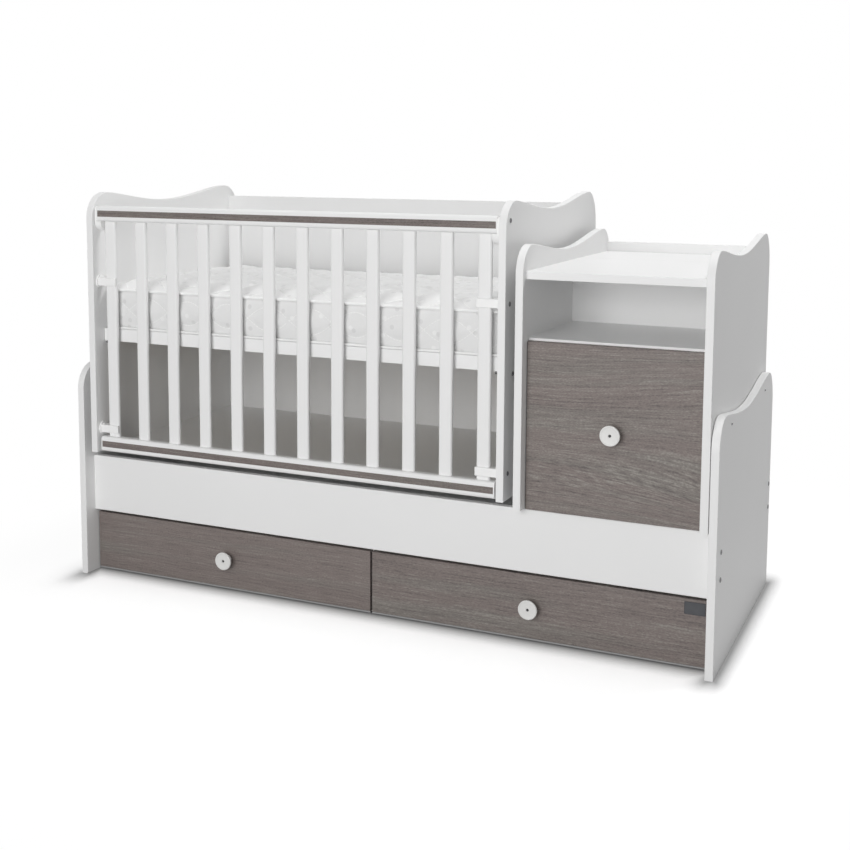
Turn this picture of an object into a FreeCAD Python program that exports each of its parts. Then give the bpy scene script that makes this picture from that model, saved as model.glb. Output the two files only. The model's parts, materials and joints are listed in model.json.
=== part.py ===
import FreeCAD, Part
import math
import os

os.makedirs("parts", exist_ok=True)

# Convertible crib with a changing cabinet on a base with two drawers.
# Millimetres. X runs along the length, Y to the back and Z up from the floor, with the origin under the middle.

# Layout from the left end to the right end
board = 18.0
end_gap = 22.4
crib_inner_length = 1100.0
cabinet_inner_width = 395.7
cabinet_side_gap = 1.5
panel_depth = 688.0
edge_ease = 1.5

# Wavy top outline that all six side panels share
front_crest_run = 62.0
front_corner_drop = 65.0
trough_run = 328.0
trough_drop = 26.0
back_crest_run = 66.0
back_crest_rise = 5.0
back_corner_drop = 80.0
front_slope_reach = 50.0
trough_reach = 115.0
back_slope_reach = 70.0
corner_roundness = 0.5523
base_crest = 556.5
cabinet_crest = 904.0
crib_crest = 999.5

# Base boards, deck and divider
base_board_low = 164.5
base_board_height = 145.5
front_board_recess = 38.0
back_board_recess = 10.0
batten_size = 20.0
deck_thickness = 16.0
divider_setback = 3.0

# Drawers and their L-shaped runners
front_thickness = 16.0
drawer_side_thickness = 12.0
drawer_bottom_thickness = 4.0
drawer_groove = 5.0
drawer_bottom_rise = 8.0
runner_gauge = 1.5
runner_height = 20.0
runner_ledge = 14.0
runner_side_clearance = 0.8
seat_clearance = 0.3
base_drawer_face = 48.6
base_drawer_floor_gap = 7.0
base_drawer_top_gap = 9.0
base_drawer_reveal = 2.5
base_box_low = 24.0
base_box_height = 105.0
base_box_length = 545.0
cabinet_drawer_face = 30.0
cabinet_drawer_low_gap = 2.4
cabinet_drawer_reveal = 1.5
cabinet_shelf_lip = 5.4
cabinet_box_rise = 18.0
cabinet_box_height = 300.0
cabinet_box_length = 295.0
plate_width = 46.0
plate_height = 28.0
plate_thickness = 1.0
plate_drop = 6.5
plate_inset = 8.0

# Dished knobs and their screws
knob_diameter = 45.0
knob_rim = 5.0
knob_dish = 1.6
knob_disc = 6.0
knob_neck_diameter = 17.0
knob_neck_length = 19.0
knob_hole_diameter = 6.6
knob_hole_depth = 5.0
screw_head_diameter = 6.2
screw_head_height = 2.0
screw_diameter = 4.0
hole_clearance = 0.1

# Changing cabinet
cabinet_foot_height = 4.0
cabinet_foot_diameter = 15.0
changing_top_drop = 56.0
changing_top_setback = 18.6
changing_seam_depth = 425.0
seam_width = 1.4
rim_setback = 12.0
rim_thickness = 16.0
rim_rise = 25.0
niche_height = 132.5
niche_depth = 316.0
cabinet_back_thickness = 16.0

# Crib box
crib_clearance = 19.0
crib_floor_thickness = 9.0
crib_back_thickness = 16.0
crib_back_recess = 35.0
mattress_base_rise = 320.0
base_rail_height = 32.0
base_rail_width = 18.0
base_rail_end_gap = 1.0
sleep_front_setback = 40.0
sleep_back_gap = 2.0
base_slat_count = 12
base_slat_width = 58.0
base_slat_thickness = 10.0
base_slat_sink = 2.0
base_slat_tenon = 8.0

# Mattress, measured at its piped edges
mattress_side_gap = 1.6
mattress_border = 101.0
mattress_crown = 22.0
mattress_crown_run = 72.0
mattress_corner = 28.0
mattress_edge_round = 6.0
mattress_waist = 4.0
mattress_steps = 6
quilt_pitch = 118.0
quilt_width = 7.0
quilt_depth = 2.5

# Drop side
rail_face = 9.0
rail_depth = 27.0
rail_height = 39.0
rail_end_gap = 6.6
rail_round = 7.0
top_rail_drop = 33.0
bottom_rail_rise = 2.5
inlay_height = 15.6
inlay_depth = 3.0
inlay_recess = 0.5
inlay_end = 3.0
slat_count = 12
slat_inset = 39.05
slat_width = 33.0
slat_thickness = 13.0
slat_round = 6.0
slat_line = 26.0
slat_tenon = 10.0
tenon_clearance = 0.1
latch_side_gap = 0.8
latch_slat_gap = 3.55
latch_foot_drop = 25.0
latch_foot_round = 24.0
latch_top_round = 10.0
latch_margin = 1.0
catch_drop = 42.5
catch_stud_length = 3.0
catch_slot_clearance = 1.0

# Guide clips, each with a round flange on the panel and two arms that an end slat slides between
clip_flange_diameter = 33.0
clip_flange_thickness = 4.0
clip_boss_diameter = 25.0
clip_boss_length = 5.0
clip_height = 20.0
clip_wall = 5.0
clip_running_gap = 0.8
clip_overhang = 1.0
clip_round = 1.5
upper_clip_drop = 227.0
lower_clip_rise = 61.0

# Bolts through the panels
bolt_diameter = 6.0
bolt_head_diameter = 11.0
bolt_head_height = 2.0
bolt_socket = 5.0
bolt_socket_depth = 1.2
bolt_bite = 28.0
short_bite = 12.0
clip_bite = 8.0
base_bolt_inset = 42.5
link_diameter = 4.0
link_head_diameter = 5.2
link_front = 125.0
link_back = 130.0
link_drop = 28.5
support_diameter = 8.0
support_reach = 22.0
support_inset = 11.0
back_bolt_inset = 90.0

# Swing: arched rails on the crib run on rollers on the base panel and the cabinet panel
swing_radius = 800.0
swing_rail_height = 10.0
swing_rail_width = 16.0
swing_rail_half_angle = 16.0
swing_balance = 17.9
roller_diameter = 24.0
roller_width = 14.0
roller_spread = 345.2
roller_rise = 146.0
roller_side_gap = 2.0
roller_gap = 0.3
roller_pin_diameter = 8.0
roller_pin_bite = 10.0
roller_pin_head = 13.0
roller_pin_head_height = 1.5
roller_end_play = 0.3
running_clearance = 0.05

# Places along X, from left to right
overall_length = 6 * board + 2 * end_gap + crib_inner_length + cabinet_inner_width + cabinet_side_gap
x_base_left = -overall_length / 2
x_base_left_in = x_base_left + board
x_crib_left = x_base_left_in + end_gap
x_crib_left_in = x_crib_left + board
x_crib_right_in = x_crib_left_in + crib_inner_length
x_crib_right = x_crib_right_in + board
x_cabinet_left = x_crib_right + end_gap
x_cabinet_left_in = x_cabinet_left + board
x_cabinet_right_in = x_cabinet_left_in + cabinet_inner_width
x_base_right_in = x_cabinet_right_in + board + cabinet_side_gap
x_base_right = x_base_right_in + board
x_crib_middle = (x_crib_left_in + x_crib_right_in) / 2
slat_pitch = (crib_inner_length - 2 * slat_inset) / (slat_count - 1)

# Places along Y, from front to back
y_front = -panel_depth / 2
y_back = panel_depth / 2
y_front_board = y_front + front_board_recess
y_back_board = y_back - back_board_recess - board
y_shelf_front = y_front + cabinet_drawer_face + front_thickness
y_cabinet_back = y_shelf_front + niche_depth
y_rim = y_back - rim_setback - rim_thickness
y_crib_back = y_back - crib_back_recess - crib_back_thickness
y_sleep_front = y_front + sleep_front_setback
y_sleep_back = y_crib_back - sleep_back_gap
y_slat = y_front + slat_line
y_rail = y_front + rail_face

# Heights
z_base_top = base_board_low + base_board_height
z_deck = base_board_low + batten_size
z_cabinet_low = z_base_top + cabinet_foot_height
z_changing_top = cabinet_crest - changing_top_drop
z_shelf_top = z_changing_top - board - niche_height
z_crib_low = z_base_top + crib_clearance
z_crib_floor = z_crib_low + crib_floor_thickness
z_mattress = z_crib_low + mattress_base_rise
z_base_rail = z_mattress - base_rail_height
z_top_rail = crib_crest - top_rail_drop - rail_height
z_bottom_rail = z_crib_low + bottom_rail_rise
z_upper_clip = crib_crest - upper_clip_drop
z_lower_clip = z_crib_low + lower_clip_rise
z_catch = crib_crest - catch_drop
z_support = z_base_rail - seat_clearance - support_diameter / 2
z_roller = z_base_top + roller_rise


def vec(x, y, z):
    return FreeCAD.Vector(x, y, z)


def box(x_low, x_high, y_low, y_high, z_low, z_high):
    """A rectangular block between two corners."""
    return Part.makeBox(x_high - x_low, y_high - y_low, z_high - z_low, vec(x_low, y_low, z_low))


def rod(diameter, start, direction, length):
    """A round bar from a point along a direction."""
    return Part.makeCylinder(diameter / 2, length, start, direction)


def ease(shape, radius, directions):
    """Round the straight edges of a block that run along the named directions."""
    chosen = []
    for edge in shape.Edges:
        size = edge.BoundBox
        spans = {"X": size.XLength, "Y": size.YLength, "Z": size.ZLength}
        longest = max(spans, key=spans.get)
        if longest in directions:
            chosen.append(edge)
    return shape.makeFillet(radius, chosen)


def group(solids):
    return Part.makeCompound(solids)


def line(start, end):
    return Part.LineSegment(start, end).toShape()


def swoop(start, leave, arrive, end):
    """A smooth curve between two points, with its leaving and arriving handles."""
    curve = Part.BezierCurve()
    curve.setPoles([start, start + leave, end - arrive, end])
    return curve.toShape()


def side_panel(x_left, z_low, z_crest):
    """An upright panel: two rounded corners and a wave between a front crest and a higher back crest."""
    shoulder = vec(x_left, y_front, z_crest - front_corner_drop)
    crest = vec(x_left, y_front + front_crest_run, z_crest)
    trough = vec(x_left, y_front + trough_run, z_crest - trough_drop)
    peak = vec(x_left, y_back - back_crest_run, z_crest + back_crest_rise)
    nape = vec(x_left, y_back, z_crest - back_corner_drop)
    foot_back = vec(x_left, y_back, z_low)
    foot_front = vec(x_left, y_front, z_low)
    rise = vec(0, 0, corner_roundness * front_corner_drop)
    reach = vec(0, corner_roundness * front_crest_run, 0)
    fall = vec(0, 0, -corner_roundness * (back_corner_drop + back_crest_rise))
    round_back = vec(0, corner_roundness * back_crest_run, 0)
    outline = [
        line(foot_front, shoulder),
        swoop(shoulder, rise, reach, crest),
        swoop(crest, vec(0, front_slope_reach, 0), vec(0, trough_reach, 0), trough),
        swoop(trough, vec(0, trough_reach, 0), vec(0, back_slope_reach, 0), peak),
        swoop(peak, round_back, fall, nape),
        line(nape, foot_back),
        line(foot_back, foot_front),
    ]
    panel = Part.Face(Part.Wire(outline)).extrude(vec(board, 0, 0))
    rims = [edge for edge in panel.Edges if edge.BoundBox.XLength < board / 2]
    return panel.makeFillet(edge_ease, rims)


def bolt(x_face, outward, y, z, bite, diameter=bolt_diameter, head_diameter=bolt_head_diameter):
    """A bolt with its head on a panel's face and its shank running inward through the panel."""
    out = vec(outward, 0, 0)
    face = vec(x_face, y, z)
    shank = rod(diameter, face, out * -1, board + bite)
    head = rod(head_diameter, face, out, bolt_head_height)
    socket_start = face + out * (bolt_head_height - bolt_socket_depth)
    width = bolt_socket * head_diameter / bolt_head_diameter
    socket = rod(width, socket_start, out, bolt_socket_depth + edge_ease)
    return shank.fuse(head).removeSplitter().cut(socket)


def bolt_bore(x_face, outward, y, z, bite, diameter=bolt_diameter):
    """The hole for such a bolt, in all the pieces that it passes through."""
    start = vec(x_face + outward, y, z)
    return rod(diameter + 2 * hole_clearance, start, vec(-outward, 0, 0), board + bite + 1 + hole_clearance)


def without(shape, cutters):
    return shape.cut(cutters) if cutters else shape


# Base
def base_bolt_places():
    """Both ends of the front board and the back board, two bolts each."""
    places = []
    for x_face, outward in ((x_base_left, -1), (x_base_right, 1)):
        for y in (y_front_board + board / 2, y_back_board + board / 2):
            for z in (base_board_low + base_bolt_inset, z_base_top - base_bolt_inset):
                places.append((x_face, outward, y, z, bolt_bite))
    return places


def link_places():
    """Two screws that tie the right end panel to the cabinet."""
    spots = (y_front + link_front, y_back - link_back)
    return [(x_base_right, 1, y, base_crest - link_drop, short_bite, link_diameter) for y in spots]


base_places = base_bolt_places()
base_bores = [bolt_bore(*place) for place in base_places + link_places()]
base_bolts = group(
    [bolt(*place) for place in base_places] + [bolt(*place, link_head_diameter) for place in link_places()]
)


def roller_centers():
    """Where the four rollers turn: front and back, on the left panel and on the cabinet panel."""
    half = roller_spread / 2
    centers = {}
    for end, x_face, inward in (("left", x_base_left_in, 1), ("right", x_cabinet_left, -1)):
        for row, side in (("front", -1), ("rear", 1)):
            centers[row + "_" + end] = (x_face, inward, swing_balance + side * half, z_roller)
    return centers


rollers = roller_centers()


def roller_pin(x_face, inward, y, z):
    """A headed pin, set in its panel, that carries one roller."""
    out = vec(inward, 0, 0)
    reach = roller_side_gap + roller_width + roller_end_play
    pin = rod(roller_pin_diameter, vec(x_face, y, z) - out * roller_pin_bite, out, roller_pin_bite + reach)
    head = rod(roller_pin_head, vec(x_face, y, z) + out * reach, out, roller_pin_head_height)
    return pin.fuse(head).removeSplitter()


def roller_pin_bore(x_face, inward, y, z):
    out = vec(inward, 0, 0)
    start = vec(x_face, y, z) - out * (roller_pin_bite + hole_clearance)
    return rod(roller_pin_diameter + 2 * hole_clearance, start, out, roller_pin_bite + 1)


def roller(x_face, inward, y, z):
    """A plain roller with a bore that runs on its pin."""
    out = vec(inward, 0, 0)
    start = vec(x_face, y, z) + out * roller_side_gap
    wheel = rod(roller_diameter, start, out, roller_width)
    bore = rod(roller_pin_diameter + 2 * running_clearance, start - out, out, roller_width + 2)
    return wheel.cut(bore)


pin_bores = [roller_pin_bore(*place) for place in rollers.values()]
swing_roller_pins = group([roller_pin(*place) for place in rollers.values()])
base_left_end_panel = without(side_panel(x_base_left, 0, base_crest), base_bores + pin_bores)
base_right_end_panel = without(side_panel(x_base_right_in, 0, base_crest), base_bores)


def base_board(y_low):
    """A long board between the two end panels."""
    plain = box(x_base_left_in, x_base_right_in, y_low, y_low + board, base_board_low, z_base_top)
    return without(ease(plain, edge_ease, "X"), base_bores)


base_front_board = base_board(y_front_board)
base_back_board = base_board(y_back_board)
y_front_batten = y_front_board + board
base_deck_battens = group([
    box(x_base_left_in, x_base_right_in, y, y + batten_size, base_board_low, z_deck)
    for y in (y_front_batten, y_back_board - batten_size)
])
base_deck = box(x_base_left_in, x_base_right_in, y_front_batten, y_back_board, z_deck, z_deck + deck_thickness)
y_divider = y_front + base_drawer_face + front_thickness + divider_setback
base_divider = box(-board / 2, board / 2, y_divider, y_back_board, 0, base_board_low)


# Drawers
def runner(x_face, inward, y_low, y_high, z_ledge):
    """An L-shaped runner on a panel's face, with its ledge under a drawer's side."""
    x_flange = x_face + inward * runner_gauge
    x_ledge = x_face + inward * runner_ledge
    z_low = z_ledge - runner_gauge
    flange = box(min(x_face, x_flange), max(x_face, x_flange), y_low, y_high, z_low, z_low + runner_height)
    ledge = box(min(x_face, x_ledge), max(x_face, x_ledge), y_low, y_high, z_low, z_ledge)
    return flange.fuse(ledge).removeSplitter()


def knob(x, y_face, z):
    """A round knob turned about Y: a neck, a disc with a raised rim, a dished face and a screw hole."""
    radius = knob_diameter / 2
    neck = knob_neck_diameter / 2
    hole = knob_hole_diameter / 2
    shank = screw_diameter / 2 + hole_clearance
    y_disc = y_face - knob_neck_length
    y_rim_top = y_disc - knob_disc
    y_dish = y_rim_top + knob_dish
    y_seat = y_rim_top + knob_hole_depth
    half_disc = knob_disc / 2
    points = [
        vec(x + shank, y_face, z),
        vec(x + neck, y_face, z),
        vec(x + neck, y_disc, z),
        vec(x + radius - half_disc, y_disc, z),
    ]
    bulge = vec(x + radius, y_disc - half_disc, z)
    rim_top = vec(x + radius - half_disc, y_rim_top, z)
    dish_edge = vec(x + radius - half_disc - knob_rim, y_dish, z)
    inner = [
        dish_edge,
        vec(x + hole, y_dish, z),
        vec(x + hole, y_seat, z),
        vec(x + shank, y_seat, z),
        points[0],
    ]
    edges = [line(a, b) for a, b in zip(points, points[1:])]
    edges.append(Part.Arc(points[-1], bulge, rim_top).toShape())
    edges.append(line(rim_top, dish_edge))
    edges += [line(a, b) for a, b in zip(inner, inner[1:])]
    face = Part.Face(Part.Wire(edges))
    return face.revolve(vec(x, y_face, z), vec(0, 1, 0), 360)


def knob_screw(x, y_face, z):
    """The screw whose head shows at the bottom of the knob's hole."""
    y_seat = y_face - knob_neck_length - knob_disc + knob_hole_depth
    head = rod(screw_head_diameter, vec(x, y_seat - screw_head_height, z), vec(0, 1, 0), screw_head_height)
    length = y_face + front_thickness - y_seat
    shank = rod(screw_diameter, vec(x, y_seat, z), vec(0, 1, 0), length)
    return head.fuse(shank).removeSplitter()


def drawer(bay, front_span, heights, y_face, box_low, box_height, box_length):
    """All the pieces of one drawer, in its closed place in a bay between two upright faces."""
    margin = runner_gauge + runner_side_clearance
    x_low = bay[0] + margin
    x_high = bay[1] - margin
    x_mid = (front_span[0] + front_span[1]) / 2
    z_mid = (heights[0] + heights[1]) / 2
    y_box = y_face + front_thickness
    y_end = y_box + box_length
    z_top = box_low + box_height
    z_floor = box_low + drawer_bottom_rise
    z_inside = z_floor + drawer_bottom_thickness
    inner_low = x_low + drawer_side_thickness
    inner_high = x_high - drawer_side_thickness
    bottom = box(inner_low - drawer_groove, inner_high + drawer_groove, y_box, y_end, z_floor, z_inside)
    sides = []
    for x_side in (x_low, inner_high):
        side = box(x_side, x_side + drawer_side_thickness, y_box, y_end, box_low, z_top)
        sides.append(side.cut(bottom))
    front = box(front_span[0], front_span[1], y_face, y_box, heights[0], heights[1])
    hole_start = vec(x_mid, y_face - 1, z_mid)
    hole = rod(screw_diameter + 2 * hole_clearance, hole_start, vec(0, 1, 0), front_thickness + 2)
    back = box(inner_low, inner_high, y_end - drawer_side_thickness, y_end, z_inside, z_top)
    return {
        "front": ease(front, edge_ease, "XZ").cut(hole),
        "sides": group(sides),
        "back": back,
        "bottom": bottom,
        "knob": knob(x_mid, y_face, z_mid),
        "knob_screw": knob_screw(x_mid, y_face, z_mid),
    }


y_base_face = y_front + base_drawer_face
base_front_heights = (base_drawer_floor_gap, base_board_low - base_drawer_top_gap)
left_bay = (x_base_left_in, -board / 2)
right_bay = (board / 2, x_base_right_in)
left_span = (x_base_left_in + base_drawer_reveal, -base_drawer_reveal)
right_span = (base_drawer_reveal, x_base_right_in - base_drawer_reveal)
base_box = (base_box_low, base_box_height, base_box_length)
left_drawer = drawer(left_bay, left_span, base_front_heights, y_base_face, *base_box)
right_drawer = drawer(right_bay, right_span, base_front_heights, y_base_face, *base_box)
y_base_run = y_divider + base_box_length
base_drawer_runners = group([
    runner(x_face, inward, y_divider, y_base_run, base_box_low - seat_clearance)
    for x_face, inward in ((left_bay[0], 1), (left_bay[1], -1), (right_bay[0], 1), (right_bay[1], -1))
])
x_plate = right_span[1] - plate_inset
z_plate = base_front_heights[1] - plate_drop
plate = box(
    x_plate - plate_width, x_plate, y_base_face - plate_thickness, y_base_face, z_plate - plate_height, z_plate
)

# Cabinet
cabinet_left_panel = without(side_panel(x_cabinet_left, z_cabinet_low, cabinet_crest), pin_bores)
cabinet_right_panel = without(side_panel(x_cabinet_right_in, z_cabinet_low, cabinet_crest), base_bores)
cabinet_feet = group([
    rod(cabinet_foot_diameter, vec(x + board / 2, y + board / 2, z_base_top), vec(0, 0, 1), cabinet_foot_height)
    for x in (x_cabinet_left, x_cabinet_right_in)
    for y in (y_front_board, y_back_board)
])


def between_cabinet_panels(y_low, y_high, z_low, z_high):
    return box(x_cabinet_left_in, x_cabinet_right_in, y_low, y_high, z_low, z_high)


y_seam = y_front + changing_seam_depth
changing_top_front_board = ease(
    between_cabinet_panels(y_front + changing_top_setback, y_seam, z_changing_top - board, z_changing_top),
    edge_ease, "X",
)
changing_top_rear_board = ease(
    between_cabinet_panels(y_seam + seam_width, y_rim, z_changing_top - board, z_changing_top), edge_ease, "X"
)
changing_top_rear_rim = ease(
    between_cabinet_panels(y_rim, y_rim + rim_thickness, z_changing_top - board, z_changing_top + rim_rise),
    edge_ease, "X",
)
cabinet_shelf = ease(
    between_cabinet_panels(y_shelf_front, y_cabinet_back, z_shelf_top - board, z_shelf_top), edge_ease, "X"
)
cabinet_back_panel = between_cabinet_panels(
    y_cabinet_back, y_cabinet_back + cabinet_back_thickness, z_cabinet_low, z_changing_top - board
)
cabinet_bay = (x_cabinet_left_in, x_cabinet_right_in)
cabinet_span = (x_cabinet_left_in + cabinet_drawer_reveal, x_cabinet_right_in - cabinet_drawer_reveal)
cabinet_heights = (z_base_top + cabinet_drawer_low_gap, z_shelf_top - cabinet_shelf_lip)
z_cabinet_box = z_cabinet_low + cabinet_box_rise
cabinet_drawer = drawer(
    cabinet_bay, cabinet_span, cabinet_heights, y_front + cabinet_drawer_face,
    z_cabinet_box, cabinet_box_height, cabinet_box_length,
)
cabinet_drawer_runners = group([
    runner(x_face, inward, y_shelf_front, y_shelf_front + cabinet_box_length, z_cabinet_box - seat_clearance)
    for x_face, inward in ((cabinet_bay[0], 1), (cabinet_bay[1], -1))
])


# Crib box
def crib_bolt_places(y, heights, bite, diameter=bolt_diameter):
    """The same bolts on both tall panels, with their heads on the outer faces."""
    faces = ((x_crib_left, -1), (x_crib_right, 1))
    return [(x_face, outward, y, z, bite, diameter) for x_face, outward in faces for z in heights]


clip_places = crib_bolt_places(y_slat, (z_upper_clip, z_lower_clip), clip_bite)
catch_places = crib_bolt_places(y_slat, (z_catch,), catch_stud_length)
back_heights = (z_crib_low + back_bolt_inset, cabinet_crest - back_bolt_inset)
back_places = crib_bolt_places(y_crib_back + crib_back_thickness / 2, back_heights, bolt_bite)
support_places = []
for y_support in (y_sleep_front + support_inset, y_sleep_back - support_inset):
    support_places += crib_bolt_places(y_support, (z_support,), support_reach, support_diameter)
crib_bores = [bolt_bore(*place) for place in clip_places + catch_places + back_places + support_places]
crib_bolts = group([bolt(*place) for place in clip_places + catch_places + back_places])
mattress_base_supports = group([bolt(*place) for place in support_places])
crib_left_panel = without(side_panel(x_crib_left, z_crib_low, crib_crest), crib_bores)
crib_right_panel = without(side_panel(x_crib_right_in, z_crib_low, crib_crest), crib_bores)
crib_back_panel = without(
    box(
        x_crib_left_in, x_crib_right_in, y_crib_back, y_crib_back + crib_back_thickness,
        z_crib_low, crib_crest - trough_drop,
    ),
    [bolt_bore(*place) for place in back_places],
)
crib_floor = box(x_crib_left_in, x_crib_right_in, y_sleep_front, y_crib_back, z_crib_low, z_crib_floor)


def base_slats():
    """Evenly spread cross slats whose ends sit in the two long rails of the mattress base."""
    length = crib_inner_length - 2 * base_rail_end_gap
    step = length / base_slat_count
    y_low = y_sleep_front + base_rail_width - base_slat_tenon
    y_high = y_sleep_back - base_rail_width + base_slat_tenon
    z_high = z_mattress - base_slat_sink
    slats = []
    for index in range(base_slat_count):
        x_mid = x_crib_left_in + base_rail_end_gap + (index + 0.5) * step
        x_low = x_mid - base_slat_width / 2
        slats.append(box(x_low, x_low + base_slat_width, y_low, y_high, z_high - base_slat_thickness, z_high))
    return slats


mattress_base_slats = group(base_slats())
mattress_base_rails = group([
    box(
        x_crib_left_in + base_rail_end_gap, x_crib_right_in - base_rail_end_gap,
        y, y + base_rail_width, z_base_rail, z_mattress,
    ).cut(mattress_base_slats)
    for y in (y_sleep_front, y_sleep_back - base_rail_width)
])


# Mattress
def rounded_rectangle(inset, z):
    """One level of the mattress: four sides and four quarter-round corners."""
    x_low = x_crib_left_in + mattress_side_gap + inset
    x_high = x_crib_right_in - mattress_side_gap - inset
    y_low = y_sleep_front + inset
    y_high = y_sleep_back - inset
    radius = mattress_corner
    lean = radius * (1 - math.sqrt(0.5))
    edges = [
        line(vec(x_low + radius, y_low, z), vec(x_high - radius, y_low, z)),
        Part.Arc(
            vec(x_high - radius, y_low, z), vec(x_high - lean, y_low + lean, z), vec(x_high, y_low + radius, z)
        ).toShape(),
        line(vec(x_high, y_low + radius, z), vec(x_high, y_high - radius, z)),
        Part.Arc(
            vec(x_high, y_high - radius, z), vec(x_high - lean, y_high - lean, z), vec(x_high - radius, y_high, z)
        ).toShape(),
        line(vec(x_high - radius, y_high, z), vec(x_low + radius, y_high, z)),
        Part.Arc(
            vec(x_low + radius, y_high, z), vec(x_low + lean, y_high - lean, z), vec(x_low, y_high - radius, z)
        ).toShape(),
        line(vec(x_low, y_high - radius, z), vec(x_low, y_low + radius, z)),
        Part.Arc(
            vec(x_low, y_low + radius, z), vec(x_low + lean, y_low + lean, z), vec(x_low + radius, y_low, z)
        ).toShape(),
    ]
    return Part.Wire(edges)


def quilt_channels(z_top):
    """V-shaped channels in two slanting directions, cut into the flat of the crown."""
    x_mid = x_crib_middle
    y_mid = (y_sleep_front + y_sleep_back) / 2
    width = y_sleep_back - y_sleep_front
    reach = (crib_inner_length + width) / 2
    count = math.floor(reach / quilt_pitch)
    channels = []
    for slope in (-1, 1):
        along = vec(1, slope, 0) / math.sqrt(2)
        across = vec(-slope, 1, 0) / math.sqrt(2)
        for index in range(-count, count + 1):
            middle = vec(x_mid + (index + 0.5) * quilt_pitch, y_mid, z_top)
            start = middle - along * width
            left = start + across * (quilt_width / 2) + vec(0, 0, seat_clearance)
            right = start - across * (quilt_width / 2) + vec(0, 0, seat_clearance)
            deep = start - vec(0, 0, quilt_depth)
            face = Part.Face(Part.makePolygon([left, deep, right, left]))
            channels.append(face.extrude(along * (2 * width)))
    return channels


def mattress_levels(z_low):
    """Inset and height up the side: a rounded foot, a border drawn in to its waist, then the crown."""
    z_border = z_low + mattress_edge_round
    rise = mattress_border - mattress_edge_round
    z_edge = z_low + mattress_border
    levels = []
    for step in range(mattress_steps):
        turn = math.pi / 2 * step / mattress_steps
        inset = mattress_edge_round * (1 - math.sin(turn))
        levels.append((inset, z_border - mattress_edge_round * math.cos(turn)))
    for step in range(mattress_steps):
        share = step / mattress_steps
        levels.append((mattress_waist * math.sin(math.pi * share), z_border + rise * share))
    for step in range(mattress_steps + 1):
        turn = math.pi / 2 * step / mattress_steps
        inset = mattress_crown_run * (1 - math.cos(turn))
        levels.append((inset, z_edge + mattress_crown * math.sin(turn)))
    return levels


def mattress_body():
    """A border drawn in between two piped edges, under a crown with slanting quilting channels."""
    levels = mattress_levels(z_mattress + seat_clearance)
    body = Part.makeLoft([rounded_rectangle(inset, z) for inset, z in levels], True, True)
    return body.cut(quilt_channels(levels[-1][1]))


mattress = mattress_body()


# Swing rails and rollers
def swing_axis_height():
    reach = swing_radius + roller_gap + roller_diameter / 2
    return z_roller + math.sqrt(reach ** 2 - (roller_spread / 2) ** 2)


def swing_rail(x_low):
    """An arched rail on a tall panel's outer face. Its arcs share the axis that the crib swings about."""
    z_axis = swing_axis_height()

    def on_arc(radius, angle):
        turn = math.radians(angle)
        return vec(x_low, swing_balance + radius * math.sin(turn), z_axis - radius * math.cos(turn))

    inner = swing_radius - swing_rail_height
    half = swing_rail_half_angle
    edges = [
        Part.Arc(on_arc(swing_radius, -half), on_arc(swing_radius, 0), on_arc(swing_radius, half)).toShape(),
        line(on_arc(swing_radius, half), on_arc(inner, half)),
        Part.Arc(on_arc(inner, half), on_arc(inner, 0), on_arc(inner, -half)).toShape(),
        line(on_arc(inner, -half), on_arc(swing_radius, -half)),
    ]
    return Part.Face(Part.Wire(edges)).extrude(vec(swing_rail_width, 0, 0))


swing_rails = group([swing_rail(x_crib_left - swing_rail_width), swing_rail(x_crib_right)])


# Guide clips
def guide_clip(x_face, inward, z):
    """A moulded clip: a flange and boss on the panel, a long arm before the end slat, a short one behind it."""
    x_slat = x_face + inward * slat_inset
    half_gap = slat_width / 2 + clip_running_gap
    half_depth = slat_thickness / 2 + clip_running_gap
    x_near = x_slat - inward * half_gap
    x_end = x_slat + inward * (slat_width / 2 + clip_overhang)
    x_past = x_end + inward * clip_flange_diameter
    y_half = half_depth + clip_wall
    out = vec(inward, 0, 0)
    flange = rod(clip_flange_diameter, vec(x_face, y_slat, z), out, clip_flange_thickness)
    boss = rod(clip_boss_diameter, vec(x_face, y_slat, z), out, clip_flange_thickness + clip_boss_length)
    low, high = sorted((x_face, x_end))
    arm = ease(
        box(low, high, y_slat - y_half, y_slat + y_half, z - clip_height / 2, z + clip_height / 2),
        clip_round, "XYZ",
    )
    slot = ease(
        box(
            min(x_near, x_past), max(x_near, x_past), y_slat - half_depth, y_slat + half_depth,
            z - clip_height, z + clip_height,
        ),
        slat_round, "Z",
    )
    y_limit = y_slat + half_depth + clip_wall
    wide = clip_flange_diameter
    trim = box(low, high, y_limit, y_limit + wide, z - wide, z + wide)
    short = box(min(x_slat, x_past), max(x_slat, x_past), y_slat, y_limit + 1, z - clip_height, z + clip_height)
    return flange.fuse(boss).cut(trim).fuse(arm).removeSplitter().cut([slot, short])


clip_bores = [bolt_bore(*place) for place in clip_places]
guide_clips = group([
    without(guide_clip(x_face, inward, z), clip_bores)
    for x_face, inward in ((x_crib_left_in, 1), (x_crib_right_in, -1))
    for z in (z_upper_clip, z_lower_clip)
])


# Drop side
x_rail_left = x_crib_left_in + rail_end_gap
x_rail_right = x_crib_right_in - rail_end_gap


def slat(index, grow):
    """One flat slat with rounded edges, whose ends sit in both rails."""
    x_mid = x_crib_left_in + slat_inset + index * slat_pitch
    half_width = slat_width / 2 + grow
    half_depth = slat_thickness / 2 + grow
    z_low = z_bottom_rail + rail_height - slat_tenon - grow
    z_high = z_top_rail + slat_tenon + grow
    plain = box(x_mid - half_width, x_mid + half_width, y_slat - half_depth, y_slat + half_depth, z_low, z_high)
    return ease(plain, slat_round, "Z")


mortises = [slat(index, tenon_clearance) for index in range(slat_count)]
drop_side_slats = group([slat(index, 0) for index in range(slat_count)])


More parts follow.
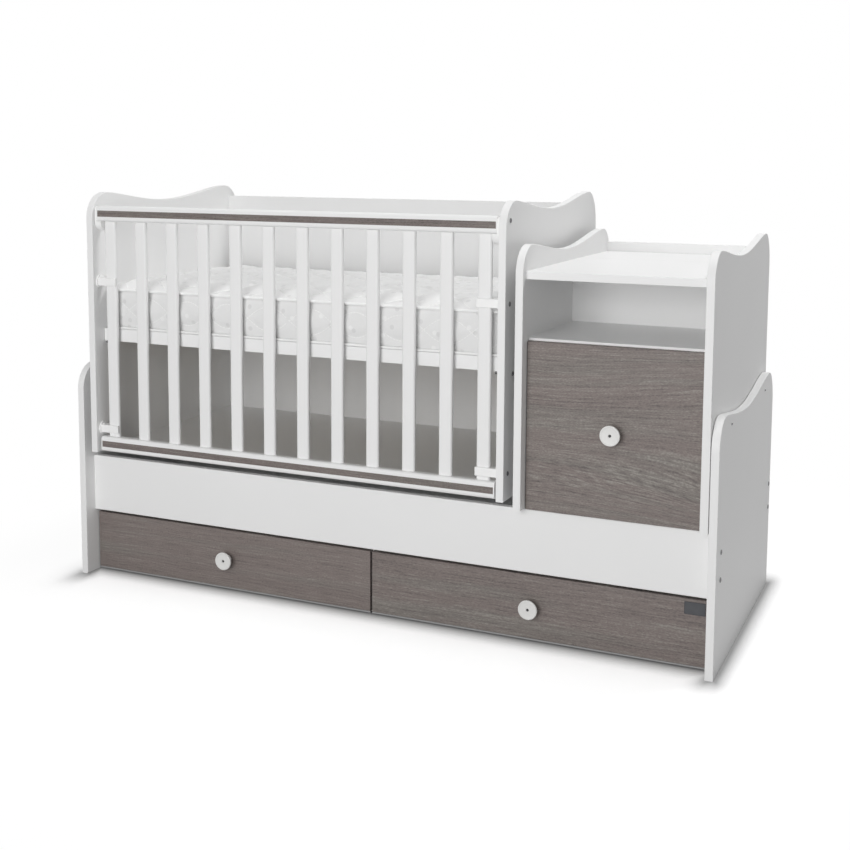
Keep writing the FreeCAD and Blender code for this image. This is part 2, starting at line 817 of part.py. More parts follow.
def inlay_block(z_rail, thickness, y_face):
    z_low = z_rail + (rail_height - inlay_height) / 2
    return box(
        x_rail_left + inlay_end, x_rail_right - inlay_end, y_face, y_face + thickness, z_low, z_low + inlay_height
    )


def rail(z_low):
    """A long rail with rounded edges, a groove for its inlay and mortises for the slats."""
    plain = box(x_rail_left, x_rail_right, y_rail, y_rail + rail_depth, z_low, z_low + rail_height)
    return ease(plain, rail_round, "X").cut([inlay_block(z_low, inlay_depth, y_rail)] + mortises)


drop_side_top_rail = rail(z_top_rail)
drop_side_bottom_rail = rail(z_bottom_rail)
top_rail_inlay = inlay_block(z_top_rail, inlay_depth - inlay_recess, y_rail + inlay_recess)
bottom_rail_inlay = inlay_block(z_bottom_rail, inlay_depth - inlay_recess, y_rail + inlay_recess)


def rail_end_latch(x_face, inward):
    """A moulded end piece: a cheek beside the rail's end, a round-nosed foot under it and a catch slot."""
    x_out = x_face + inward * latch_side_gap
    x_rail_end = x_face + inward * rail_end_gap
    x_foot = x_face + inward * (slat_inset - slat_width / 2 - latch_slat_gap)
    z_low = z_top_rail - latch_foot_drop
    z_high = z_top_rail + rail_height - latch_margin
    y_low = y_rail + latch_margin
    y_high = y_rail + rail_depth - latch_margin

    def span(x_one, x_two, z_one, z_two):
        return box(min(x_one, x_two), max(x_one, x_two), y_low, y_high, z_one, z_two)

    cheek = span(x_out, x_rail_end, z_low, z_high)
    foot = span(x_out, x_foot, z_low, z_top_rail)
    body = cheek.fuse(foot).removeSplitter()
    for z_corner, corner_radius in ((z_low, latch_foot_round), (z_high, latch_top_round)):
        corner = vec((x_out + x_rail_end) / 2, y_low, z_corner)
        nearest = min(body.Edges, key=lambda edge: edge.distToShape(Part.Vertex(corner))[0])
        body = body.makeFillet(corner_radius, [nearest])
    radius = bolt_diameter / 2 + catch_slot_clearance
    depth = catch_stud_length + catch_slot_clearance
    x_deep = x_face + inward * depth
    slot = box(
        min(x_face, x_deep), max(x_face, x_deep), y_slat - radius, y_slat + radius, z_catch, z_high + latch_margin
    )
    seat = rod(2 * radius, vec(x_face, y_slat, z_catch), vec(inward, 0, 0), depth)
    return body.cut([slot, seat])


rail_end_latches = group([rail_end_latch(x_crib_left_in, 1), rail_end_latch(x_crib_right_in, -1)])

# Every piece under its name
pieces = {
    "base_left_end_panel": base_left_end_panel,
    "base_right_end_panel": base_right_end_panel,
    "base_front_board": base_front_board,
    "base_back_board": base_back_board,
    "base_divider": base_divider,
    "base_deck": base_deck,
    "base_deck_battens": base_deck_battens,
    "base_drawer_runners": base_drawer_runners,
    "base_bolts": base_bolts,
    "cabinet_left_panel": cabinet_left_panel,
    "cabinet_right_panel": cabinet_right_panel,
    "cabinet_feet": cabinet_feet,
    "changing_top_front_board": changing_top_front_board,
    "changing_top_rear_board": changing_top_rear_board,
    "changing_top_rear_rim": changing_top_rear_rim,
    "cabinet_shelf": cabinet_shelf,
    "cabinet_back_panel": cabinet_back_panel,
    "cabinet_drawer_runners": cabinet_drawer_runners,
    "swing_roller_pins": swing_roller_pins,
    "right_drawer_plate": plate,
    "crib_left_panel": crib_left_panel,
    "crib_right_panel": crib_right_panel,
    "crib_back_panel": crib_back_panel,
    "crib_floor": crib_floor,
    "crib_bolts": crib_bolts,
    "mattress_base_rails": mattress_base_rails,
    "mattress_base_slats": mattress_base_slats,
    "mattress_base_supports": mattress_base_supports,
    "mattress": mattress,
    "guide_clips": guide_clips,
    "swing_rails": swing_rails,
    "drop_side_top_rail": drop_side_top_rail,
    "drop_side_bottom_rail": drop_side_bottom_rail,
    "drop_side_slats": drop_side_slats,
    "top_rail_inlay": top_rail_inlay,
    "bottom_rail_inlay": bottom_rail_inlay,
    "rail_end_latches": rail_end_latches,
}
for place_name, place in rollers.items():
    pieces["swing_roller_" + place_name] = roller(*place)
for drawer_name, parts in (
    ("left_drawer", left_drawer),
    ("right_drawer", right_drawer),
    ("cabinet_drawer", cabinet_drawer),
):
    for part_name, shape in parts.items():
        pieces[drawer_name + "_" + part_name] = shape
for piece_name, shape in pieces.items():
    shape.exportStep("parts/" + piece_name + ".step")
print(len(pieces), "pieces, swing axis", round(swing_balance, 1), round(swing_axis_height(), 1))
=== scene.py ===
"""Dresses the convertible crib: its finishes, knobs, bolts, slats, mattress and studio stage."""
import json
import math

import bmesh
import bpy
from bpy.props import FloatProperty, FloatVectorProperty, IntProperty, PointerProperty
from mathutils import Matrix, Vector, noise
from mathutils.bvhtree import BVHTree


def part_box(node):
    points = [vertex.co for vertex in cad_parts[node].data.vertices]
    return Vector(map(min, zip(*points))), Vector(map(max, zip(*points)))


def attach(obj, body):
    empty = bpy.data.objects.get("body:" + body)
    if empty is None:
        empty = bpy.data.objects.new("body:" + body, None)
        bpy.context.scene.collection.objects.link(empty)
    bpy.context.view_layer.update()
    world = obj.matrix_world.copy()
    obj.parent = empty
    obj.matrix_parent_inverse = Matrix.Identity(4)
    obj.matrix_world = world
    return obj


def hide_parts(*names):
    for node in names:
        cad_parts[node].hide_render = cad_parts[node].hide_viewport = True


bl_info = {
    "name": "Convertible crib",
    "version": (1, 0, 0),
    "blender": (4, 5, 0),
    "location": "3D View > Sidebar > Crib",
    "description": "Finishes, fittings, mattress and studio stage of a convertible crib",
    "category": "Object",
}

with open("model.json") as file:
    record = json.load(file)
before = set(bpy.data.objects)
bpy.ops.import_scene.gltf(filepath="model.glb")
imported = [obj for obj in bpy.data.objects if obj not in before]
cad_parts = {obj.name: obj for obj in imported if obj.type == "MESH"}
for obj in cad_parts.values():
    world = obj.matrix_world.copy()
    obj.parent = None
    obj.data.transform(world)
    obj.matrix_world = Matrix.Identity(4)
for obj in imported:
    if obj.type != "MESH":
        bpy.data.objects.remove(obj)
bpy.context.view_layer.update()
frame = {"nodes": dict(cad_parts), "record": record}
SLOT_OF = {part["node"]: part["material_slot"] for part in frame["record"]["subparts"]}
BODY_OF = {
    node: body for body, nodes in frame["record"]["behaviour"]["bodies"].items() for node in nodes
}
DRAWERS = ("left_drawer", "right_drawer", "cabinet_drawer")
BASE_DRAWERS = ("left_drawer", "right_drawer")
MILLIMETRE = 0.001
SEAM_STEP = 6 * MILLIMETRE


def length(label, default, about):
    """A size in metres that a user may change."""
    return FloatProperty(name=label, description=about, default=default, min=0.0, unit="LENGTH")


def colour(label, default, about):
    """A colour that a user may change."""
    return FloatVectorProperty(
        name=label, description=about, default=default, size=3, min=0.0, max=1.0, subtype="COLOR"
    )


def power(label, default, about):
    """A lamp's power in watts."""
    return FloatProperty(name=label, description=about, default=default, min=0.0, unit="POWER")


def angle(label, degrees, about):
    """An angle that a user may change."""
    return FloatProperty(name=label, description=about, default=math.radians(degrees), subtype="ANGLE")


class CribColours(bpy.types.PropertyGroup):
    """Colours of the finishes."""

    board: colour("Board", (0.90, 0.90, 0.898), "White melamine of all the boards and slats")
    wood_dark: colour("Wood dark", (0.108, 0.094, 0.089), "Dark lines of the wood-look fronts")
    wood_mid: colour("Wood", (0.206, 0.172, 0.1605), "Ground of the wood-look fronts")
    wood_grey: colour("Wood grey", (0.197, 0.177, 0.163), "Greyer bands of the wood-look fronts")
    wood_light: colour("Wood light", (0.308, 0.292, 0.264), "Pale streaks of the wood-look fronts")
    moulding: colour("Moulding", (0.94, 0.94, 0.935), "White plastic of clips, end pieces and feet")
    knob: colour("Knob", (0.80, 0.795, 0.78), "Pale plastic of the knobs")
    nylon: colour("Roller", (0.35, 0.35, 0.36), "Grey nylon of the swing rollers")
    zinc: colour("Zinc", (0.62, 0.63, 0.64), "Zinc-plated steel of runners, swing rails and pins")
    bolt: colour("Bolt", (0.22, 0.22, 0.225), "Dark steel of bolts and screws")
    plate: colour("Plate", (0.075, 0.077, 0.082), "Bare plate on the right drawer")
    strip: colour("Strip", (0.34, 0.34, 0.34), "Edge strip under the base drawers' fronts")
    base_slat: colour("Base slat", (0.72, 0.60, 0.44), "Pale wood of the mattress base's slats")
    cover: colour("Cover", (0.86, 0.86, 0.857), "Cloth of the mattress")
    thread: colour("Thread", (0.96, 0.96, 0.955), "Piping and quilting thread of the mattress")


class CribSizes(bpy.types.PropertyGroup):
    """Sizes of the fittings and of the mattress."""

    slat_count: IntProperty(name="Slats", description="Slats in the drop side", default=12, min=2)
    slat_width: length("Slat width", 0.033, "Width of a drop-side slat")
    slat_round: length("Slat rounding", 0.006, "Edge rounding of a drop-side slat")
    knob_rim: length("Knob rim", 0.0020, "Rounding of the knob's rim")
    knob_dish: length("Knob dish", 0.0016, "Depth of the hollow in the knob's face")
    knob_disc: length("Knob disc", 0.0058, "Thickness of the knob's disc")
    knob_neck: length("Knob neck", 0.0085, "Radius of the knob's neck")
    knob_hole: length("Knob hole", 0.0033, "Radius of the hole for the knob's screw")
    knob_hole_depth: length("Knob hole depth", 0.005, "Depth of the hole for the knob's screw")
    bolt_head: length("Bolt head", 0.0055, "Radius of a bolt's head")
    bolt_head_height: length("Bolt head height", 0.002, "Height of a bolt's head")
    bolt_socket: length("Bolt socket", 0.0022, "Half width of the hexagon in a bolt's head")
    strip_height: length("Strip height", 0.0045, "Height of the edge strip under a base drawer's front")
    strip_depth: length("Strip depth", 0.004, "Depth of the edge strip under a base drawer's front")
    border: length("Border", 0.101, "Height of the mattress between its piped edges")
    crown: length("Crown", 0.020, "Rise of the mattress's top above its piped edge")
    crown_run: length("Crown run", 0.072, "Width over which the mattress's top rises")
    corner: length("Corner", 0.028, "Rounding of the mattress's upright corners")
    waist: length("Waist", 0.004, "How far the mattress's border is drawn in")
    groove: length("Groove", 0.0085, "Depth of the groove beside the mattress's piping")
    groove_width: length("Groove width", 0.0065, "Reach of the groove beside the mattress's piping")
    swell: length("Swell", 0.006, "Most that the cover may swell under its filling's pressure")
    piping: length("Piping", 0.0034, "Radius of the piping along the mattress's edges")
    quilt_pitch: length("Quilt pitch", 0.118, "Spacing of the slanting seams along the mattress")
    quilt_depth: length("Quilt depth", 0.0055, "Depth of the quilting seams")
    quilt_width: length("Quilt width", 0.011, "Half width of the hollow along a quilting seam")
    wave_length: length("Wave length", 0.236, "Length of one wave of the border's seams")
    wave_height: length("Wave height", 0.030, "Swing of the border's seams about their middle")
    stitch_length: length("Stitch length", 0.0074, "Length of one quilting stitch")
    stitch_pitch: length("Stitch pitch", 0.0080, "Spacing of the quilting stitches")


class CribStage(bpy.types.PropertyGroup):
    """Studio light and camera."""

    front: power("Front light", 99.0, "Power of the front lamp")
    upper: power("Upper light", 15.0, "Power of the upper lamp")
    side: power("Side light", 49.0, "Power of the upper right lamp")
    ambient: FloatProperty(name="Ambient", description="Light from all round", default=0.29, min=0.0)
    lens: FloatProperty(name="Lens", description="Focal length", default=54.03, unit="CAMERA")
    azimuth: angle("Azimuth", 24.638, "Camera's place round the crib")
    tilt: angle("Tilt", 6.329, "Camera's tilt downwards")
    roll: angle("Roll", 0.2135, "Camera's roll")
    place: FloatVectorProperty(
        name="Camera", description="Camera's place", default=(1.3127, -2.9546, 1.1058), size=3,
        unit="LENGTH",
    )


def maths(operation, reflected=False):
    """A method that works on its values with one Math node."""
    def method(self, *others):
        values = (self,) + others
        if reflected:
            values = values[::-1]
        return self.sheet.add("ShaderNodeMath", {"operation": operation}, dict(enumerate(values)))
    return method


class Socket:
    """A value in a node tree, so that shader maths reads as an expression."""

    __add__ = __radd__ = maths("ADD")
    __sub__ = maths("SUBTRACT")
    __rsub__ = maths("SUBTRACT", reflected=True)
    __mul__ = __rmul__ = maths("MULTIPLY")
    __truediv__ = maths("DIVIDE")
    __pow__ = maths("POWER")
    __abs__ = maths("ABSOLUTE")
    sine = maths("SINE")
    larger = maths("MAXIMUM")
    smaller = maths("MINIMUM")

    def __init__(self, sheet, socket):
        self.sheet = sheet
        self.socket = socket

    def step(self, start, end):
        """A smooth step from 0 at start to 1 at end."""
        inputs = {"Value": self, "From Min": start, "From Max": end}
        return self.sheet.add("ShaderNodeMapRange", {"interpolation_type": "SMOOTHSTEP"}, inputs)

    def output(self, name):
        """Another output of the node that this value comes from."""
        return Socket(self.sheet, self.socket.node.outputs[name])


class Sheet:
    """One node tree, with a single method that adds nodes to it."""

    FACTOR, FIRST_COLOUR, SECOND_COLOUR, COLOUR_RESULT = 0, 6, 7, 2

    def __init__(self, tree):
        self.tree = tree

    def add(self, kind, settings=None, inputs=None, output=0):
        """Add a node. Its settings come first, then the values or links of its sockets."""
        node = self.tree.nodes.new(kind)
        for key, value in (settings or {}).items():
            setattr(node, key, value)
        for key, value in (inputs or {}).items():
            socket = node.inputs[key]
            if isinstance(value, Socket):
                self.tree.links.new(value.socket, socket)
            else:
                socket.default_value = value
        return Socket(self, node.outputs[output]) if node.outputs else None

    def where(self):
        """The place on the piece, in metres of its own frame."""
        return self.add("ShaderNodeTexCoord", output="Object")

    def stretch(self, vector, scale):
        return self.add("ShaderNodeMapping", None, {"Vector": vector, "Scale": scale})

    def axes(self, vector):
        """The three parts of a vector."""
        parts = self.add("ShaderNodeSeparateXYZ", None, {"Vector": vector})
        return [parts.output(axis) for axis in "XYZ"]

    def noise(self, vector, scale, detail=2.0, roughness=0.5):
        inputs = {"Vector": vector, "Scale": scale, "Detail": detail, "Roughness": roughness}
        return self.add("ShaderNodeTexNoise", None, inputs)

    def mix(self, factor, first, second):
        """A colour between two others."""
        inputs = {self.FACTOR: factor, self.FIRST_COLOUR: first, self.SECOND_COLOUR: second}
        return self.add("ShaderNodeMix", {"data_type": "RGBA"}, inputs, self.COLOUR_RESULT)

    def bump(self, height, strength, distance):
        inputs = {"Height": height, "Strength": strength, "Distance": distance}
        return self.add("ShaderNodeBump", None, inputs)


def opaque(rgb, factor=1.0):
    """A colour with full alpha, made lighter or darker by a factor."""
    return tuple(min(1.0, part * factor) for part in rgb) + (1.0,)


def new_finish(name):
    """An empty material and the sheet that its nodes go on."""
    material = bpy.data.materials.new(name)
    material.use_nodes = True
    material.node_tree.nodes.clear()
    return material, Sheet(material.node_tree)


def close_finish(sheet, inputs):
    """The shader that ends a material."""
    shader = sheet.add("ShaderNodeBsdfPrincipled", None, inputs)
    sheet.add("ShaderNodeOutputMaterial", None, {"Surface": shader})


def white_board(colours):
    """Satin white melamine with a faint pearl."""
    material, sheet = new_finish("white_board")
    where = sheet.where()
    pearl = sheet.noise(where, 900.0, 2.0)
    cloud = sheet.noise(where, 2.5, 3.0)
    tone = sheet.mix(cloud, opaque(colours.board, 0.975), opaque(colours.board, 1.02))
    close_finish(sheet, {
        "Base Color": sheet.mix(pearl * 0.25, tone, opaque(colours.board, 0.95)),
        "Roughness": 0.34 + 0.10 * pearl,
        "Normal": sheet.bump(pearl, 0.05, 0.0003),
        "Specular IOR Level": 0.22,
    })
    return material


def wood_front(name, colours, heart, fan=0.0, flame=0.0, shade=1.0):
    """Wood-look laminate with long level lines, which may fan out from a heart over paler dashes."""
    material, sheet = new_finish(name)
    where = sheet.where()
    x, _, z = sheet.axes(where)
    along = x - heart[0]
    drift = sheet.noise(sheet.stretch(where, (1.9, 1.9, 5.0)), 1.0, 2.0) - 0.5
    ripple = sheet.noise(sheet.stretch(where, (12.0, 12.0, 30.0)), 1.0, 2.0) - 0.5
    across = z + drift * 0.024 + ripple * 0.0024 - heart[1]
    below = (0 - across).step(0.0, 0.08)
    edge = abs(across).step(0.10, 0.18)
    bend = (1 + below) * (1 - edge * 0.85) * fan
    level = across / (1 + along * along * bend)
    # Each front is cut from another place of the printed sheet.
    sheet_place = (heart[0] + heart[1]) * 7.0
    grain = sheet.add("ShaderNodeCombineXYZ", None, {"X": along, "Y": sheet_place, "Z": level})
    wood_dark = opaque(colours.wood_dark, shade)
    wood_mid = opaque(colours.wood_mid, shade)
    wood_grey = opaque(colours.wood_grey, shade)
    wood_light = opaque(colours.wood_light, shade)

    def lines(stretch, detail=1.0):
        return sheet.noise(sheet.stretch(grain, stretch), 1.0, detail) - 0.5

    band = lines((1.6, 1.0, 34.0), 3.0)
    zone = lines((1.3, 1.0, 26.0), 3.0)
    streak = lines((5.0, 1.0, 330.0))
    thread = lines((24.0, 1.0, 450.0))
    fibre = lines((210.0, 1.0, 560.0))
    dash = lines((40.0, 1.0, 340.0))
    pores = lines((110.0, 1.0, 800.0), 2.0)
    flames = (1 - abs(across + 0.105).step(0.025, 0.075)) * flame
    tone = 0.5 + band * 0.40 + streak * 0.60 + thread * 0.62 + fibre * 0.72 + dash * flames
    ground = sheet.mix(zone.step(-0.02, 0.18), wood_mid, wood_grey)
    dark = sheet.mix(tone.step(0.10, 0.52), wood_dark, ground)
    figured = sheet.mix(tone.step(0.50, 0.94), dark, wood_light)
    pore_mask = pores.step(0.10, 0.18)
    relief = streak * 0.5 + fibre * 0.7 - pore_mask * 0.4
    close_finish(sheet, {
        "Base Color": sheet.mix(pore_mask * 0.34, figured, opaque(colours.wood_dark, shade * 0.8)),
        "Roughness": 0.50 + 0.14 * pore_mask - 0.10 * streak,
        "Normal": sheet.bump(relief, 0.22, 0.0004),
        "Specular IOR Level": 0.38,
    })
    return material


def pale_wood(colours):
    """Plain pale wood with grain along the slats of the mattress base."""
    material, sheet = new_finish("pale_wood")
    where = sheet.where()
    streak = sheet.noise(sheet.stretch(where, (160.0, 6.0, 60.0)), 1.0, 4.0, 0.6)
    fibre = sheet.noise(sheet.stretch(where, (700.0, 22.0, 300.0)), 1.0, 2.0)
    tone = (streak * 0.7 + fibre * 0.3).step(0.25, 0.75)
    close_finish(sheet, {
        "Base Color": sheet.mix(tone, opaque(colours.base_slat, 0.78), opaque(colours.base_slat, 1.08)),
        "Roughness": 0.62 + 0.16 * fibre,
        "Normal": sheet.bump(fibre, 0.15, 0.0003),
    })
    return material


def moulded_plastic(name, rgb, roughness):
    """Moulded plastic with a fine even texture and faint flow marks."""
    material, sheet = new_finish(name)
    where = sheet.where()
    grain = sheet.noise(where, 1400.0, 2.0)
    flow = sheet.noise(where, 45.0, 2.0)
    close_finish(sheet, {
        "Base Color": sheet.mix(flow, opaque(rgb, 0.965), opaque(rgb, 1.02)),
        "Roughness": roughness + 0.10 * grain + 0.06 * flow,
        "Normal": sheet.bump(grain, 0.04, 0.0002),
    })
    return material


def plated_steel(name, rgb, roughness, lay, shade=1.0):
    """Plated steel, brushed along one axis. A shade below one darkens its colour as painted shade."""
    material, sheet = new_finish(name)
    where = sheet.where()
    brush = sheet.noise(sheet.stretch(where, lay), 1.0, 3.0)
    bloom = sheet.noise(where, 60.0, 3.0)
    close_finish(sheet, {
        "Base Color": sheet.mix(bloom, opaque(rgb, 0.80 * shade), opaque(rgb, 1.12 * shade)),
        "Metallic": 1.0,
        "Roughness": roughness + 0.16 * brush + 0.08 * bloom,
        "Normal": sheet.bump(brush, 0.06, 0.0002),
    })
    return material


def quilted_cloth(colours):
    """White twill with small woven dots. Its UV map is in metres."""
    material, sheet = new_finish("quilted_cloth")
    rib_pitch = 2.4 * MILLIMETRE
    weft_pitch = 1.1 * MILLIMETRE
    dots_per_metre = 24.0
    place = sheet.add("ShaderNodeUVMap", {"uv_map": "cloth"})
    u, v, _ = sheet.axes(place)
    rib = ((u + v) * (2 * math.pi / rib_pitch)).sine()
    weft = ((u - v) * (2 * math.pi / weft_pitch)).sine()
    flat = {"voronoi_dimensions": "2D"}
    cells = sheet.add("ShaderNodeTexVoronoi", flat, {"Vector": place, "Scale": dots_per_metre})
    dots = 1 - cells.step(0.11, 0.16)
    chosen = sheet.add("ShaderNodeSeparateColor", None, {"Color": cells.output("Color")})
    pale = chosen.step(0.70, 0.74)
    fuzz = sheet.noise(place, 420.0, 3.0)
    cloud = sheet.noise(place, 9.0, 3.0)
    uneven = cloud * 0.6 + fuzz * 0.4
    ground = sheet.mix(uneven, opaque(colours.cover, 0.955), opaque(colours.cover, 1.02))
    twill = sheet.mix(rib.step(-0.2, 1.0) * 0.35, ground, opaque(colours.cover, 0.90))
    dot_tone = sheet.mix(pale, opaque(colours.cover, 0.87), opaque(colours.cover, 1.06))
    relief = rib * 0.5 + weft * 0.2 + fuzz * 0.5 - dots * 0.6
    close_finish(sheet, {
        "Base Color": sheet.mix(dots * 0.9, twill, dot_tone),
        "Roughness": 0.86 - 0.16 * dots,
        "Normal": sheet.bump(relief, 0.30, 0.0005),
        "Sheen Weight": 0.15,
        "Specular IOR Level": 0.25,
    })
    return material


def thread_cloth(colours):
    """Cotton thread and piping, with a fine twist."""
    material, sheet = new_finish("thread_cloth")
    where = sheet.where()
    twist_pitch = 1.6 * MILLIMETRE
    x, y, z = sheet.axes(where)
    twist = ((x + y + z) * (2 * math.pi / twist_pitch)).sine()
    fuzz = sheet.noise(where, 900.0, 2.0)
    shaded = opaque(colours.thread, 0.93)
    close_finish(sheet, {
        "Base Color": sheet.mix(twist.step(-1.0, 1.0), shaded, opaque(colours.thread)),
        "Roughness": 0.78 + 0.12 * fuzz,
        "Normal": sheet.bump(twist * 0.6 + fuzz * 0.4, 0.25, 0.0003),
        "Sheen Weight": 0.10,
    })
    return material


def dress(piece, material):
    """Give a piece one material."""
    piece.data.materials.clear()
    piece.data.materials.append(material)


def dress_slot(slot, material):
    """Give every CAD node of a material slot the same finish."""
    for node, its_slot in SLOT_OF.items():
        if its_slot == slot:
            dress(frame["nodes"][node], material)


def piece_from(name, mesh, material, body, stands_for=(), sharp=math.radians(35)):
    """A finished piece: smooth shading up to an angle, its finish, and the body that it rides on."""
    mesh.shade_smooth()
    mesh.set_sharp_from_angle(angle=sharp)
    piece = bpy.data.objects.new(name, mesh)
    bpy.context.scene.collection.objects.link(piece)
    dress(piece, material)
    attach(piece, body)
    if stands_for:
        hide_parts(*stands_for)
    return piece


def mesh_from(name, form):
    """A mesh from a finished bmesh, with its faces pointing outwards."""
    bmesh.ops.recalc_face_normals(form, faces=form.faces)
    mesh = bpy.data.meshes.new(name)
    form.to_mesh(mesh)
    form.free()
    return mesh


def solids_of(node):
    """The box of each separate solid in a CAD node."""
    form = bmesh.new()
    form.from_mesh(frame["nodes"][node].data)
    bmesh.ops.remove_doubles(form, verts=form.verts, dist=1e-6)
    left = set(form.verts)
    boxes = []
    while left:
        found = [left.pop()]
        low = found[0].co.copy()
        high = found[0].co.copy()
        while found:
            vertex = found.pop()
            low = Vector(map(min, low, vertex.co))
            high = Vector(map(max, high, vertex.co))
            for edge in vertex.link_edges:
                other = edge.other_vert(vertex)
                if other in left:
                    left.discard(other)
                    found.append(other)
        boxes.append((low, high))
    form.free()
    return sorted(boxes, key=lambda box: tuple(box[0]))


def ring_mesh(name, rings):
    """A closed mesh with each ring of points bridged to the next one and both ends capped."""
    form = bmesh.new()
    loops = [[form.verts.new(point) for point in ring] for ring in rings]
    count = len(loops[0])
    for first, second in zip(loops, loops[1:]):
        for index in range(count):
            after = (index + 1) % count
            form.faces.new((first[index], first[after], second[after], second[index]))
    form.faces.new(loops[0])
    form.faces.new(loops[-1])
    bmesh.ops.remove_doubles(form, verts=form.verts, dist=1e-6)
    return mesh_from(name, form)


def turned(name, profile, center, segments=72):
    """A shape turned about Y. The profile lists radius and depth behind the center's front face."""
    turns = [2 * math.pi * index / segments for index in range(segments)]
    rings = []
    for radius, depth in profile:
        spots = [(radius * math.cos(turn), depth, radius * math.sin(turn)) for turn in turns]
        rings.append([center + Vector(spot) for spot in spots])
    return ring_mesh(name, rings)


def node_group(name, inputs):
    """A new geometry tree with named inputs: its sheet, its input node and each input's identifier."""
    tree = bpy.data.node_groups.new(name, "GeometryNodeTree")
    tree.interface.new_socket("Geometry", in_out="OUTPUT", socket_type="NodeSocketGeometry")
    tree.interface.new_socket("Geometry", in_out="INPUT", socket_type="NodeSocketGeometry")
    identifiers = {}
    for label, kind in inputs.items():
        socket = tree.interface.new_socket(label, in_out="INPUT", socket_type=kind)
        identifiers[label] = socket.identifier
    sheet = Sheet(tree)
    entry = sheet.add("NodeGroupInput")
    return sheet, entry, identifiers


def close_group(sheet, geometry, material):
    """End a geometry tree with its instances made real and its material set."""
    real = sheet.add("GeometryNodeRealizeInstances", None, {"Geometry": geometry})
    painted = sheet.add("GeometryNodeSetMaterial", None, {"Geometry": real, "Material": material})
    sheet.add("NodeGroupOutput", None, {"Geometry": painted})


def grown_mesh(name, base, sheet, identifiers, values):
    """Run a geometry tree on a base mesh and keep its result as a plain mesh."""
    holder = bpy.data.objects.new(name, base)
    bpy.context.scene.collection.objects.link(holder)
    modifier = holder.modifiers.new(name, "NODES")
    modifier.node_group = sheet.tree
    for label, value in values.items():
        modifier[identifiers[label]] = value
    graph = bpy.context.evaluated_depsgraph_get()
    mesh = bpy.data.meshes.new_from_object(holder.evaluated_get(graph), depsgraph=graph)
    mesh.name = name
    bpy.data.objects.remove(holder)
    return mesh


def point_mesh(name, points):
    """A mesh of loose points, for a geometry tree to grow on."""
    mesh = bpy.data.meshes.new(name)
    mesh.from_pydata([tuple(point) for point in points], [], [])
    return mesh


def path_mesh(name, paths):
    """A mesh of open or closed lines. Each path is its points and whether it closes."""
    points = []
    edges = []
    for path, closed in paths:
        start = len(points)
        points += [tuple(point) for point in path]
        edges += [(start + index, start + index + 1) for index in range(len(path) - 1)]
        if closed:
            edges.append((start + len(path) - 1, start))
    mesh = bpy.data.meshes.new(name)
    mesh.from_pydata(points, edges, [])
    return mesh


class CRIB_OT_white_boards(bpy.types.Operator):
    """Finish the white boards of the base, the cabinet, the crib and the drawers"""

    bl_idname = "crib.white_boards"
    bl_label = "White boards"

    def execute(self, context):
        dress_slot("white_laminate", white_board(context.scene.crib_colours))
        return {"FINISHED"}


def edge_strip(drawer, sizes):
    """A narrow strip with a rounded front along the lower edge of a drawer's front."""
    low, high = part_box(drawer + "_front")
    top = low.z
    bottom = low.z - sizes.strip_height
    depth = sizes.strip_depth
    bulge = depth / 4
    outline = [
        (low.y + bulge * 2, top),
        (low.y + bulge, top - bulge),
        (low.y + bulge, bottom + bulge),
        (low.y + bulge * 2, bottom),
        (low.y + bulge + depth, bottom),
        (low.y + bulge + depth, top),
    ]
    ends = [[Vector((x, y, z)) for y, z in outline] for x in (low.x, high.x)]
    return ring_mesh(drawer + "_lower_strip", ends)


class CRIB_OT_wood_fronts(bpy.types.Operator):
    """Finish the wood-look drawer fronts and rail inlays, and add the strips under the lower fronts"""

    bl_idname = "crib.wood_fronts"
    bl_label = "Wood-look fronts"

    def execute(self, context):
        colours = context.scene.crib_colours
        # How far a front's lines fan out, the strength of its paler dashes, and its shade.
        figures = {
            "left_drawer_front": (0.0, 0.0, 1.0),
            "right_drawer_front": (0.0, 0.0, 1.0),
            "cabinet_drawer_front": (2.6, 0.85, 1.0),
            "top_rail_inlay": (0.0, 0.0, 0.86),
            "bottom_rail_inlay": (0.0, 0.0, 0.86),
        }
        for node, figure in figures.items():
            low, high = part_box(node)
            heart = (low.x, (low.z + high.z) / 2)
            dress(frame["nodes"][node], wood_front(node + "_wood", colours, heart, *figure))
        finish = moulded_plastic("edge_strip", colours.strip, 0.40)
        for drawer in BASE_DRAWERS:
            mesh = edge_strip(drawer, context.scene.crib_sizes)
            piece_from(mesh.name, mesh, finish, drawer)
        return {"FINISHED"}


class CRIB_OT_hardware(bpy.types.Operator):
    """Finish the runners, swing rails, pins, rollers, bolts, screws and mattress base slats"""

    bl_idname = "crib.hardware"
    bl_label = "Hardware"

    def execute(self, context):
        colours = context.scene.crib_colours
        along_y = (500.0, 14.0, 500.0)
        even = (300.0, 300.0, 300.0)
        dress_slot("zinc_steel", plated_steel("zinc_steel", colours.zinc, 0.30, along_y))
        dress_slot("dark_steel", plated_steel("dark_steel", colours.bolt, 0.36, even))
        # The knob screws get the bolt steel at a quarter of its brightness: painted shade of the hole
        # they sit in.
        screw = plated_steel("screw_steel", colours.bolt, 0.45, even, 0.25)
        for drawer in DRAWERS:
            dress(frame["nodes"][drawer + "_knob_screw"], screw)
        dress_slot("roller_plastic", moulded_plastic("roller_nylon", colours.nylon, 0.42))
        dress_slot("pale_wood", pale_wood(colours))
        return {"FINISHED"}


class CRIB_OT_mouldings(bpy.types.Operator):
    """Finish the moulded guide clips, rail end pieces and cabinet feet"""

    bl_idname = "crib.mouldings"
    bl_label = "Mouldings"

    def execute(self, context):
        finish = moulded_plastic("white_moulding", context.scene.crib_colours.moulding, 0.30)
        dress_slot("white_plastic", finish)
        return {"FINISHED"}


